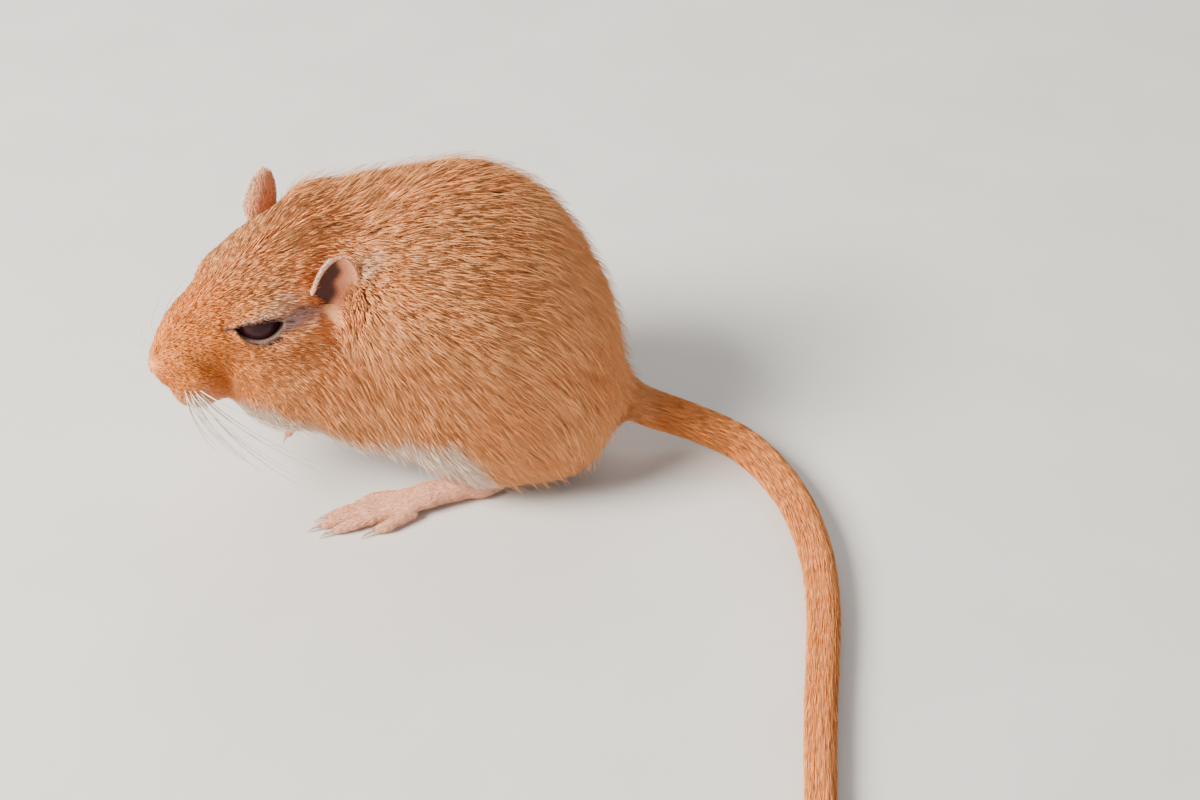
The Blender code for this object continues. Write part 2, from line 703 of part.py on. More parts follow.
def make_tail(coat, tuft_finish):
    count = 61
    course, length = curve_through(TAIL_COURSE, count)
    sizes = []
    for i, point in enumerate(course):
        t = i / (count - 1)
        if t < 0.18:
            radius = TAIL_ROOT_RADIUS + (TAIL_RADIUS - TAIL_ROOT_RADIUS) * math.sin(t / 0.18 * math.pi / 2)
        else:
            radius = TAIL_RADIUS + (TAIL_TIP_RADIUS - TAIL_RADIUS) * (t - 0.18) / 0.82
        sizes.append((radius, radius))
    for number in range(6):
        first, last = number * 10, number * 10 + 10
        path = [point.copy() for point in course[first : last + 1]]
        if number:
            path[0] = path[0] + (path[1] - path[0]).normalized() * GAP
        part = tube(f"tail_{number + 1}", path, sizes[first : last + 1], coat, sides=12, floor=0.0)
        if number == 0:
            combine(part, [room_near("room", (14, 2, 12), 16, 2.0)], "DIFFERENCE")
        if number == 5:
            locks = []
            for k in range(TUFT_LOCKS):
                start = 1 + (k * 7) % 9
                around = 2 * math.pi * (k * 0.382)
                along = (path[min(start + 1, 10)] - path[start - 1]).normalized()
                side = along.cross(Vector((0, 0, 1))).normalized()
                out = side * math.cos(around) + Vector((0, 0, 1)) * math.sin(around)
                radius = sizes[first + start][0]
                root = path[start] + out * radius * 0.5
                lock_path, lock_sizes = [], []
                for step in range(4):
                    t = step / 3
                    spot = root + along * (9.5 * t) + out * (2.3 * math.sin(t * math.pi * 0.6) - 0.2 * t)
                    spot.z = max(spot.z, 0.6)
                    lock_path.append(spot)
                    wide = (1.25, 1.35, 0.9, 0.18)[step]
                    lock_sizes.append((wide, wide * 0.55 + 0.12))
                locks.append(tube("lock", lock_path, lock_sizes, coat, sides=6, floor=0.0, up=out))
            combine(part, locks, "UNION")


def centre_footprint():
    """Moves everything so that the middle of its footprint is the origin."""
    low, high = np.full(3, np.inf), np.full(3, -np.inf)
    parts = [made for made in bpy.context.scene.collection.objects if made.type == "MESH"]
    for made in parts:
        for corner in (vert.co for vert in made.data.vertices):
            low, high = np.minimum(low, corner), np.maximum(high, corner)
    shift = Vector(((low[0] + high[0]) / 2, (low[1] + high[1]) / 2, low[2]))
    print("centre of the footprint while drawn, mm:", [round(value / MM, 4) for value in shift])
    print("overall size, mm:", [round(value / MM, 2) for value in high - low])
    for made in parts:
        made.data.transform(Matrix.Translation(-shift))


def main():
    for old in list(bpy.data.objects):
        bpy.data.objects.remove(old, do_unlink=True)
    coat = material("golden_coat", (0.62, 0.33, 0.14), 0.9)
    skin = material("pale_skin", (0.72, 0.42, 0.30), 0.7)
    horn = material("claw_horn", (0.45, 0.33, 0.25), 0.4)
    eye = material("dark_eye", (0.02, 0.008, 0.01), 0.1)
    torso, neck, head = make_body(coat)
    make_eyes(head, eye)
    make_muzzle(head)
    make_ears(room_near("room", HEAD @ Vector((-6, 0, 0)), 18, 1.2), skin)
    limbs = carve_limbs(torso, neck, coat)
    feet = make_feet(skin, horn)
    make_arms(skin, horn)
    for label, side in SIDES:
        for made in (torso, limbs[f"haunch_{label}"]):
            combine(made, [foot_room(side)], "DIFFERENCE")
        for made in (torso, neck, limbs[f"shoulder_{label}"]):
            combine(made, [arm_room(side)], "DIFFERENCE")
    make_tail(coat, coat)
    for made in bpy.context.scene.collection.objects:
        smooth_shading(made)
    centre_footprint()


main()
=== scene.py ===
"""The looks of a life-size golden gerbil, hunched with its forepaws tucked under the chest.

The animal is drawn in millimetres, as its solids were: the trunk faces -X, its left side is -Y and the
floor is z = 0. CENTRE is the middle of its footprint in that drawing, and placed() turns drawn points
into the frame's metres. The head has axes of its own: forward, left and up.
"""

import math
from types import SimpleNamespace

import bpy
import numpy as np
from bpy.props import FloatProperty, FloatVectorProperty, IntProperty, PointerProperty
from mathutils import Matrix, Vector
from mathutils.kdtree import KDTree


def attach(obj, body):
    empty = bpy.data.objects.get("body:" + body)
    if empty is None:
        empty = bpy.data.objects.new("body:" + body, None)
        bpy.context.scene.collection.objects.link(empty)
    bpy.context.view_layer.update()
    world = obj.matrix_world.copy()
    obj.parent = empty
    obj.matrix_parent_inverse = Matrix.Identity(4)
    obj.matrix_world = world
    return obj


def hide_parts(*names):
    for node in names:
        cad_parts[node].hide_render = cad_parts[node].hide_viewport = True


bl_info = {
    "name": "Golden gerbil",
    "version": (1, 0, 0),
    "blender": (4, 5, 0),
    "location": "3D View > Sidebar > Gerbil",
    "description": "Skin, coat, eyes, claws and whiskers of a life-size gerbil",
    "category": "Add Mesh",
}

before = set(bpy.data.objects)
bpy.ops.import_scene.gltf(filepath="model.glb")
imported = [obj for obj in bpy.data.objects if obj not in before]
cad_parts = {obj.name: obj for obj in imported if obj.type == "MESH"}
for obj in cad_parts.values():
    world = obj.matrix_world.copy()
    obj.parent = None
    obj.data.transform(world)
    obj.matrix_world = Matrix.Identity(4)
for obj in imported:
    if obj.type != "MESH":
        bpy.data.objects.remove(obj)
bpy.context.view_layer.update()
MM = 0.001
CENTRE = np.array((3.8609, -44.8024, 0.0))
SIDES = (("l", -1), ("r", 1))
HEAD_SIDES = {"l": 1, "r": -1}  # in the head's axes its left is the positive side
FAR = 9.0  # a distance past the reach of everything that depends on it

# The head's place and turn, and the forms of head and trunk out to the tips of the coat.
HEAD_CENTRE = np.array((-31.6, -1.5, 32.0))
HEAD_YAW, HEAD_PITCH, HEAD_ROLL = math.radians(36), math.radians(5), math.radians(6)
HEAD_STRETCH = np.array((33.0 / 37, 23.4 / 25, 22.4 / 24))
EYE_SPOT = np.array((4.7, 4.5, 1.8))
EYE_BACK = 1.4  # the drawn eye sits this much further back than its solid, as in the photo
EYE_RADIUS = 3.8
LID = 0.5  # how far the lids stand out from the eyeball
NOSE_TIP = np.array((18.3, 0, -4.2))
SNOUT_MIDDLE = np.array((15.5, 0, -4.6))
EAR_LIFT = {"l": 0.0, "r": 1.2}
EAR_SHIFT = 0.35  # how far an ear's wall lies inside the sheet that it is drawn on
# How softly trunk and head run together: everywhere, away from the ears, at the nape, behind the cheeks.
VALLEY_LEAST, VALLEY_OFF_EARS, VALLEY_NAPE, VALLEY_CHEEK = 4.5, 2.0, 4.5, 4.0
# The least height above the floor of the skin, claws, trunk's coat, tail's and feet's coat, and whiskers.
SKIN_LOW, CLAW_LOW, TRUNK_COAT_LOW, SHORT_COAT_LOW, WHISKER_LOW = 0.12, 0.14, 0.2, 0.1, 0.4
TRUNK_FORMS = (
    ((-1.5, 3.5, 26.5), (22, 20.5, 25), 0.0, 1),
    ((7, 1, 20), (17, 17.5, 18.5), 0.0, 5),
    ((2, -8.5, 16), (14.5, 10.5, 13.5), 0.15, 5),
    ((2, 10.5, 16), (14.5, 10.5, 13.5), 0.15, 5),
    ((13.5, -3, 13.5), (9.5, 13, 11), 0.0, 5),
    ((-13.5, 8, 28), (15, 13.5, 20), 0.0, 4),
    ((-13, 0, 16.5), (15.5, 14.5, 12), 0.0, 4),
    ((-23.5, 9.5, 30), (10.5, 10, 15), 0.0, 4),
    ((-20, -1, 20), (10, 11, 10), 0.0, 4),
    ((-28, -2.5, 19), (10, 11, 9), 0.0, 3),
)
HEAD_FORMS = (
    ((-4, 0, 0.3), (14.5, 12, 11.6), 0.0, 1),
    ((1, -5.6, -6.8), (10, 7, 8.2), 0.0, 3),
    ((1, 5.6, -6.8), (10, 7, 8.2), 0.0, 3),
    ((8.5, 0, -0.2), (11.5, 6.8, 6.6), 0.25, 4),
    ((14, 0, -4.4), (6.6, 4.8, 4.6), 0.1, 3),
    ((14.5, -2.8, -6.6), (5.2, 3.4, 4.0), 0.0, 2),
    ((14.5, 2.8, -6.6), (5.2, 3.4, 4.0), 0.0, 2),
    ((18.8, 0, -4.3), (3.1, 2.8, 2.8), 0.0, 2),
    ((6.5, 0, -9.8), (9, 6.4, 4.9), -0.1, 2),
)
# The pads of the whiskers, which hang below the lips.
PAD_FORMS = tuple(((15.0, across, -8.0), (5.0, 3.2, 4.4), 0.15, 1.6) for across in (-3.4, 3.4))
TAIL_COURSE = (
    (12, 2, 13), (15, 2, 12), (22, 2.1, 10.2), (29, 2.1, 7.6), (36.4, 1.4, 5), (43.6, -2.2, 3.4),
    (48.7, -10.2, 3), (51.6, -18.9, 2.9), (53, -29, 2.8), (52.8, -39.5, 2.7), (51.7, -49.6, 2.6),
    (50.3, -61, 2.5), (49.1, -74.7, 2.4), (49, -86, 2.2), (50, -97, 2.1), (51.5, -106, 2.1),
)  # fmt: skip
# Each toe's start across, end across, start along, and length.
TOES = (
    (-2.4, -3.3, 14.5, 5.6), (-1.3, -1.7, 17, 8.6), (0.1, 0.1, 17.4, 9.6), (1.5, 1.9, 17, 8.6),
    (2.5, 3.9, 13.5, 6),
)  # fmt: skip
# The head's left side in its own axes; the right side mirrors it. The nostril and the mouth are directions
# from the middle of the snout, the nostril's with a height above the skin. The other lines are places.
NOSTRIL = ((1, 0.24, 0.28, 0.15), (1, 0.42, 0.26, 0.0), (1, 0.6, 0.14, 0.0), (1, 0.76, 0.02, 0.1))
MOUTH = ((-0.35, 0.8, -0.8), (0.0, 0.62, -0.9), (0.5, 0.34, -0.86), (1, 0.04, -0.66))
PAD_FOLD = ((15.3, 3.7, 0.9), (14.2, 5.3, -1.6), (12.6, 6.3, -4.6), (10.9, 6.4, -8.0), (9.6, 5.2, -10.6))
# The crease of the whisker pad, which gets painted shade.
PAD_CREASE = ((15.0, 4.2, 0.2), (11.4, 6.6, -7.2))
THIN_BAND = (((0.4, 9.8, 3.0), (-6.6, 12.4, 3.3)), ((-3.2, 11.2, 4.6), (-5.4, 12.2, 4.2)))
EAR_FOOT, EAR_BACK = (-7.4, 13.1, 2.9), (-11.5, 10.8, 8.6)
# The pale brow, along and across the lids.
BROW = ((3.2, 0.8), (-3.2, 2.4))


def head_axes():
    """The head's forward, left and crown directions, as the columns of a matrix."""
    forward = np.array((-math.cos(HEAD_YAW), -math.sin(HEAD_YAW), 0))
    left = np.array((math.sin(HEAD_YAW), -math.cos(HEAD_YAW), 0))
    crown = np.array((0, 0, 1.0))
    c, s = math.cos(HEAD_PITCH), math.sin(HEAD_PITCH)
    forward, crown = forward * c - crown * s, crown * c + forward * s
    c, s = math.cos(HEAD_ROLL), math.sin(HEAD_ROLL)
    left, crown = left * c - crown * s, crown * c + left * s
    return np.stack((forward, left, crown), axis=1)


HEAD = head_axes()


def placed(points):
    return (np.asarray(points) - CENTRE) * MM


def in_head(points):
    return (points - HEAD_CENTRE) @ HEAD


def from_head(points):
    return np.asarray(points) @ HEAD.T + HEAD_CENTRE


def unit(vectors):
    vectors = np.asarray(vectors, float)
    return vectors / np.maximum(np.linalg.norm(vectors, axis=-1, keepdims=True), 1e-9)


def ramp(low, high, value):
    """0 at low, 1 at high and smooth in between. low may be above high."""
    share = np.clip((value - low) / (high - low), 0, 1)
    return share * share * (3 - 2 * share)


def smooth_min(a, b, softness):
    blend = np.maximum(softness - np.abs(a - b), 0) / softness
    return np.minimum(a, b) - blend * blend * softness / 4


def smooth_max(a, b, softness):
    return -smooth_min(-a, -b, softness)


def ellipsoid_distance(points, centre, radii, tilt=0.0):
    """About how far points lie outside an ellipsoid. It is negative inside."""
    local = points - np.asarray(centre, float)
    if tilt:
        c, s = math.cos(tilt), math.sin(tilt)
        x, y, z = local.T
        local = np.stack((c * x - s * z, y, s * x + c * z), axis=1)
    radii = np.asarray(radii, float)
    scaled = np.linalg.norm(local / radii, axis=1)
    slope = np.linalg.norm(local / radii**2, axis=1)
    return scaled * (scaled - 1) / np.maximum(slope, 1e-9)


def blended(points, forms, stretch=1.0):
    """Distance to ellipsoids that run together, each with the softness of its join to those before it."""
    total = None
    for centre, radii, tilt, softness in forms:
        distance = ellipsoid_distance(points, np.array(centre) * stretch, np.array(radii) * stretch, tilt)
        total = distance if total is None else smooth_min(total, distance, softness)
    return total


def segment_distance(points, start, end):
    """Distance to a line from start to end, and the share of the way along it."""
    start, line = np.asarray(start, float), np.asarray(end, float) - np.asarray(start, float)
    share = np.clip((points - start) @ line / max(line @ line, 1e-9), 0, 1)
    return np.linalg.norm(points - start - share[:, None] * line, axis=1), share


def bar_distance(points, path, sizes, softness=0.4):
    """Distance to a rounded bar along path. sizes holds its half width and half height at each point."""
    total = np.full(len(points), 50.0)
    for a, b, (w0, h0), (w1, h1) in zip(path, path[1:], sizes, sizes[1:]):
        a, b = np.asarray(a, float), np.asarray(b, float)
        line = b - a
        _, share = segment_distance(points, a, b)
        off = points - a - share[:, None] * line
        side = unit(np.cross(line, (0, 0, 1)))
        over = unit(np.cross(side, line))
        wide, tall = w0 + (w1 - w0) * share, h0 + (h1 - h0) * share
        least = np.minimum(wide, tall)
        reach = np.sqrt((off @ side / wide) ** 2 + (off @ over / tall) ** 2 + (off @ unit(line) / least) ** 2)
        total = smooth_min(total, (reach - 1) * least, softness)
    return total


def curve_through(points, count):
    """count points of a smooth curve through points, evenly spaced."""
    points = np.asarray(points, float)
    padded = np.vstack((points[0] * 2 - points[1], points, points[-1] * 2 - points[-2]))
    fine = []
    for before, start, end, after in zip(padded, padded[1:], padded[2:], padded[3:]):
        for t in np.arange(0, 1, 1 / 16):
            bend = (end - before) * t + (before * 2 - start * 5 + end * 4 - after) * t * t
            fine.append((start * 2 + bend + (start * 3 - before - end * 3 + after) * t**3) / 2)
    fine = np.vstack((fine, points[-1]))
    length = np.concatenate(([0], np.cumsum(np.linalg.norm(np.diff(fine, axis=0), axis=1))))
    goals = np.linspace(0, length[-1], count)
    return np.stack([np.interp(goals, length, fine[:, axis]) for axis in range(3)], axis=1)


def foot_axes(side):
    """A hind foot's heel, forward direction and outward direction."""
    angle = math.radians(19)
    forward = np.array((-math.cos(angle), math.sin(angle) * side, 0))
    outside = np.array((math.sin(angle), math.cos(angle) * side, 0))
    return np.array((2.6, 9.6 * side, 0)), forward, outside


def foot_bars(side):
    """The hind foot and its toes as bars, a coat's depth inside the solids."""
    heel, forward, outside = foot_axes(side)
    bars = []
    spots = ((-1, 2.0), (2, 2.3), (6, 2.5), (10.5, 2.3), (14, 1.8), (16.8, 1.45))
    sizes = ((1.6, 1.8), (1.9, 2.0), (2.0, 2.1), (2.3, 1.8), (2.6, 1.4), (2.2, 1.05))
    bars.append(([heel + forward * x + (0, 0, z) for x, z in spots], sizes, 0.8))
    shank = ((1.5, 2.3, 2.1), (4.0, 5.6, 2.5), (6.5, 9.5, 3.1))
    girths = [(size, size) for *_, size in shank]
    bars.append(([heel + forward * x + (0, 0, z) for x, z, _ in shank], girths, 1.2))
    for start, end, along, length in TOES:
        path = []
        for t in np.linspace(0, 1, 7):
            across = start + (end - start) * min(t / 0.7, 1)
            arch = 1.3 + 0.25 * math.sin(t * math.pi) - 0.45 * t
            path.append(heel + forward * (along + length * t) + outside * across + (0, 0, arch))
        girth = (0.95, 0.82, 0.9, 0.76, 0.84, 0.74, 0.66)
        bars.append((path, [(g * 0.88, g) for g in girth], 0.22))
    return bars


def arm_line(side):
    """Wrist, forward direction and knuckles of a forearm under the chest."""
    elbow, wrist = np.array((-12.5, 8.8 * side, 11.5)), np.array((-23.0, 5.0 * side, 12.4))
    ahead = unit(wrist - elbow)
    return wrist, ahead, wrist + ahead * 2.55 + (-0.6, 0, -1.6)


def finger_lines(side):
    """Root, middle and tip of each finger."""
    _, ahead, knuckles = arm_line(side)
    across = unit(np.cross(ahead, (0, 0, 1)))
    for spread in (-1.45, -0.5, 0.5, 1.45):
        root = knuckles + across * spread
        tip = root + ahead * 2.6 + np.array((-0.3, 0, -2.6)) + across * spread * 0.45
        yield root, (root + tip) / 2 + (-0.35, 0, 0.5), tip


def hand_bars(side):
    wrist, ahead, knuckles = arm_line(side)
    path = [wrist - ahead * 2, wrist + ahead * 1.2, knuckles]
    bars = [(path, ((1.5, 1.6), (1.75, 1.5), (1.95, 1.05)), 0.6)]
    for line in finger_lines(side):
        bars.append((list(line), ((0.72, 0.72), (0.64, 0.64), (0.58, 0.58)), 0.4))
    return bars


TAIL_PATH = curve_through(TAIL_COURSE, 46)


def tail_radius(share):
    """The tail's radius out to the tips of its coat, by the share of its length."""
    at_rump, behind_rump, at_end = 4.4, 3.1, 2.2
    flare, rest = 0.18, 0.82  # the shares of the length that the root's flare and the rest take up
    root = at_rump + (behind_rump - at_rump) * np.sin(np.clip(share / flare, 0, 1) * math.pi / 2)
    return np.where(share < flare, root, behind_rump + (at_end - behind_rump) * (share - flare) / rest)


def tail_sizes():
    """Half width and half height of the tail's skin at each point of its path."""
    share = np.linspace(-0.02, 1, len(TAIL_PATH))
    coat = np.linspace(0.6, 0.75, len(TAIL_PATH))
    return [(radius, radius) for radius in (tail_radius(share) - coat) * (1 - 0.5 * ramp(0.84, 1, share))]


TAIL_SIZES = tail_sizes()
# The tuft's hair lies round a line that runs on past the tail's end.
TUFT_END = TAIL_PATH[-1] + unit(TAIL_PATH[-1] - TAIL_PATH[-4]) * 10
FOOT_BARS = [bar for _, side in SIDES for bar in foot_bars(side)]
HAND_BARS = [bar for _, side in SIDES for bar in hand_bars(side)]


def eye_axes(side):
    """Directions at an eye in the head's axes: outwards, forwards along the lids, and up across them."""
    outward = unit((0.34, 0.9 * side, 0.27))
    along = np.array((0.95, -0.3 * side, -0.04))
    along = unit(along - outward * (along @ outward))
    over = np.cross(outward, along)
    return outward, along, over if over[2] > 0 else -over


def eye_centre(side):
    return EYE_SPOT * (1, side, 1) - eye_axes(side)[1] * EYE_BACK


def eye_place(local, side):
    """Distance from the eyeball's centre, and the place along, across and out from it."""
    outward, along, over = eye_axes(side)
    off = local - eye_centre(side)
    return np.linalg.norm(off, axis=1), off @ along, off @ over, off @ outward


def eye_opening(along, across):
    """Below zero inside the half-closed almond between the lids."""
    corner, slant = 3.7, 0.09
    arch = np.clip(1 - (along / corner) ** 2, 0, None)
    upper, lower = 0.75 * arch**0.8 + slant * along, -2.45 * arch**0.75 + slant * along
    return np.maximum(across - upper, lower - across) + np.where(np.abs(along) > corner, 0.3, 0)


def head_depth(local):
    """How deep the coat of the head is: deep behind the skull and hardly anything at the nose."""
    return 1.35 - 1.15 * ramp(-9, 13, local[:, 0])


def trunk_depth(points):
    """How deep the coat of the trunk is: less so towards the belly."""
    return 2.1 - 0.7 * ramp(9, 3, points[:, 2])


def body_fields(points):
    """Distances to the trunk and the head out to the tips of the coat, and the places in the head's axes."""
    local = in_head(points)
    return blended(points, TRUNK_FORMS), blended(local, HEAD_FORMS + PAD_FORMS, HEAD_STRETCH), local


def ear_axes(label):
    """An ear's root, and its rising, outward and crossing directions in the head's axes."""
    side = HEAD_SIDES[label]
    base = np.array((-5.2, 11.3 * side, EAR_LIFT[label]))
    rise = unit((-0.24, 0.16 * side, 0.96))
    mouth = np.array((0.42, 0.9 * side, 0.0))
    mouth = unit(mouth - rise * (mouth @ rise))
    return base, rise, mouth, np.cross(rise, mouth)


def body_skin(points):
    """Below zero inside the skin of trunk and head, without eyes and mouth.

    The valley between the two is filled, deepest at the nape, apart from round the ears.
    """
    trunk, head, local = body_fields(points)
    softness = VALLEY_OFF_EARS + VALLEY_NAPE * ramp(25, 36, points[:, 2])
    for label in HEAD_SIDES:
        base, rise, _, _ = ear_axes(label)
        softness = softness * ramp(3.5, 8.0, segment_distance(local, base - rise * 2, base + rise * 10)[0])
    cheek = ramp(4.0, -1.0, local[:, 2]) * ramp(4.0, -3.0, local[:, 0])
    softness = softness + VALLEY_LEAST + VALLEY_CHEEK * cheek
    return smooth_min(trunk + trunk_depth(points), head + head_depth(local), softness)


def head_share(points):
    """1 on the head's coat, 0 on the trunk's and smooth where the two meet."""
    trunk, head, local = body_fields(points)
    return ramp(4.5, -3.5, head + head_depth(local) - trunk - trunk_depth(points))


def snout_spot(direction, outward=0.0):
    """The skin of the head as seen from inside the snout along direction."""
    direction = unit(direction)
    reach = np.linspace(0, 13, 400)
    value = body_skin(from_head(SNOUT_MIDDLE + reach[:, None] * direction))
    return from_head(SNOUT_MIDDLE + direction * (reach[np.argmax(value > 0)] + outward))


def face_grooves():
    """Nostrils, mouth, pad folds and the split below the nose, each as points, a radius and a softness."""
    grooves = []
    for side in (-1, 1):
        grooves.append(([snout_spot((x, y * side, z), out) for x, y, z, out in NOSTRIL], 0.36, 0.25))
        grooves.append(([snout_spot((x, y * side, z)) for x, y, z in MOUTH], 0.3, 0.5))
        grooves.append(([from_head((x, y * side, z)) for x, y, z in PAD_FOLD], 0.55, 1.4))
    grooves.append(([snout_spot((1, 0, z), 0.05) for z in (-0.08, -0.3, -0.5, -0.66)], 0.26, 0.3))
    return grooves


GROOVES = face_grooves()


def bald_distance(local, side):
    """Distance to the thinly haired band from the eye to the foot of the ear."""
    spot = np.array((1, side, 1))
    return np.min([segment_distance(local, start * spot, end * spot)[0] for start, end in THIN_BAND], axis=0)


def hollow_distance(local, label):
    """About how far places lie outside the hollow in front of an ear."""
    base, rise, mouth, across = ear_axes(label)
    off = local - base - rise * 6.0 - mouth * 0.6
    reach = np.sqrt((off @ rise / 4.4) ** 2 + (off @ mouth / 2.6) ** 2 + (off @ across / 2.9) ** 2)
    return (reach - 1) * 2.7


def nearer_hollow(local):
    return np.minimum(hollow_distance(local, "l"), hollow_distance(local, "r"))


def near_path(points, path, reach):
    """The numbers of the points in the box round path, widened by reach."""
    low, high = np.min(path, axis=0) - reach, np.max(path, axis=0) + reach
    return np.flatnonzero(((points > low) & (points < high)).all(axis=1))


def join_bar(total, points, path, sizes, softness):
    """A field joined by a bar, which is only worked out near its path."""
    near = near_path(points, path, max(max(size) for size in sizes) + 4 + softness)
    if len(near):
        total[near] = smooth_min(total[near], bar_distance(points[near], path, sizes), softness)
    return total


def join_feet(total, points):
    for path, sizes, softness in (*FOOT_BARS, *HAND_BARS):
        total = join_bar(total, points, path, sizes, softness)
    return total


def bulged(value, away):
    """A field joined by the bulge of an eye, from the distances to its centre."""
    return smooth_min(value, away - (EYE_RADIUS + LID), 1.2)


def open_eyes(value, local):
    """A field with the eyes' bulge, and the opening between the lids cut down to just below the eyeball."""
    for side in (-1, 1):
        away, along, across, out = eye_place(local, side)
        value = bulged(value, away)
        opening = smooth_max(eye_opening(along, across), 0.4 - out, 0.2)
        opening = smooth_max(opening, EYE_RADIUS - 0.45 - away, 0.2)
        value = smooth_max(value, -opening, 0.3)
    return value


def skin_field(points):
    """Below zero inside the whole skin, with lids, nostrils, mouth, ear hollows, feet, hands and tail."""
    total = body_skin(points)
    local = in_head(points)
    face = np.flatnonzero((np.abs(total) < 4) & (local[:, 0] > -3) & (local[:, 0] < 24))
    if len(face):
        value = open_eyes(total[face], local[face])
        for path, radius, softness in GROOVES:
            for start, end in zip(path, path[1:]):
                value = smooth_max(value, radius - segment_distance(points[face], start, end)[0], softness)
        total[face] = value
    for label, side in HEAD_SIDES.items():
        beside = (local[:, 0] < 0) & (local[:, 0] > -14) & (local[:, 1] * side > 3)
        ear = np.flatnonzero((np.abs(total) < 5) & beside)
        if len(ear):
            total[ear] = smooth_max(total[ear], -hollow_distance(local[ear], label), 0.6)
    total = join_feet(total, points)
    total = join_bar(total, points, list(TAIL_PATH), TAIL_SIZES, 6.0)
    return np.maximum(total, SKIN_LOW - points[:, 2])


def coat_base(points):
    """The skin that the coat grows from: trunk, head and tail, without lids and feet."""
    total = body_skin(points)
    local = in_head(points)
    face = np.flatnonzero((np.abs(total) < 4) & (local[:, 0] > -3) & (local[:, 0] < 12))
    for side in (-1, 1):
        total[face] = bulged(total[face], eye_place(local[face], side)[0])
    return join_bar(total, points, [*TAIL_PATH, TUFT_END], [*TAIL_SIZES, (0.25, 0.25)], 6.0)


def gradient(field, points, step=0.04):
    value = field(points)
    return value, np.stack([(field(points + axis * step) - value) / step for axis in np.eye(3)], axis=1)


def settle(points, field, turns):
    """Moves points onto the surface where field is zero."""
    for _ in range(turns):
        value, slope = gradient(field, points)
        steepness = np.maximum((slope**2).sum(axis=1), 0.25)
        points = points - slope * (np.clip(value, -0.6, 0.6) / steepness)[:, None]
    return points


def graded(stops):
    """Grid lines from stops of (place, spacing up to the next place)."""
    lines = []
    for (start, spacing), (end, _) in zip(stops, stops[1:]):
        count = max(round((end - start) / spacing), 1)
        lines.append(np.linspace(start, end, count, endpoint=False))
    return np.concatenate(lines)


def surface_points(field, axes):
    """Points and four-sided faces of the surface where field is zero.

    The field is worked out on a coarse grid first, and on the fine one only near the surface.
    """
    shape = tuple(len(axis) for axis in axes)
    block, margin = 4, 1.15
    coarse = [axis[::block] for axis in axes]
    spots = np.stack(np.meshgrid(*coarse, indexing="ij"), axis=-1).reshape(-1, 3)
    rough = field(spots).reshape([len(axis) for axis in coarse])
    reach = [np.append(np.diff(axis), axis[-1] - axis[-2]) for axis in coarse]
    diagonal = np.sqrt(reach[0][:, None, None] ** 2 + reach[1][:, None] ** 2 + reach[2] ** 2)
    active = np.abs(rough) < diagonal * margin
    for axis in range(3):
        moved = np.zeros_like(active)
        moved.swapaxes(0, axis)[:-1] |= active.swapaxes(0, axis)[1:]
        active |= moved

    def spread(array):
        for axis in range(3):
            array = np.repeat(array, block, axis=axis)
        return array[: shape[0], : shape[1], : shape[2]]

    value = spread(rough).astype(np.float64)
    inside = np.argwhere(spread(active))
    points = np.stack([axes[k][inside[:, k]] for k in range(3)], axis=1)
    value[tuple(inside.T)] = field(points)
    total = np.zeros((*shape, 3), np.float32)
    count = np.zeros(shape, np.float32)
    crossings = []
    eye = np.eye(3, dtype=int)
    for axis in range(3):
        stay = [slice(None)] * 3
        ahead = [slice(None)] * 3
        stay[axis], ahead[axis] = slice(0, -1), slice(1, None)
        cut = np.argwhere((value[tuple(stay)] < 0) != (value[tuple(ahead)] < 0))
        here, there = value[tuple(cut.T)], value[tuple((cut + eye[axis]).T)]
        share = here / (here - there)
        spot = np.stack([axes[k][cut[:, k]] for k in range(3)], axis=1)
        spot[:, axis] += share * (axes[axis][cut[:, axis] + 1] - spot[:, axis])
        u, v = eye[(axis + 1) % 3], eye[(axis + 2) % 3]
        corners = [cut, cut - u, cut - u - v, cut - v]
        for corner in corners:
            np.add.at(total, tuple(corner.T), spot)
            np.add.at(count, tuple(corner.T), 1)
        crossings.append((corners, here < 0))
    used = count > 0
    index = np.full(shape, -1)
    index[used] = np.arange(used.sum())
    made = total[used].astype(np.float64) / count[used][:, None]
    faces = []
    for corners, outward in crossings:
        quads = np.stack([index[tuple(corner.T)] for corner in corners], axis=1)
        faces.append(np.where(outward[:, None], quads, quads[:, ::-1]))
    return made, np.concatenate(faces)


def relaxed(points, faces, field, rounds):
    """Points evened out along the surface, each drawn half way to the middle of its neighbours."""
    start, end = np.concatenate([faces[:, [k, (k + 1) % 4]] for k in range(4)]).T
    count = np.bincount(start, minlength=len(points))[:, None]
    for _ in range(rounds):
        around = [np.bincount(start, points[end, axis], len(points)) for axis in range(3)]
        points = (points + np.stack(around, axis=1) / count) / 2
        points = settle(points, field, 1)
    return points


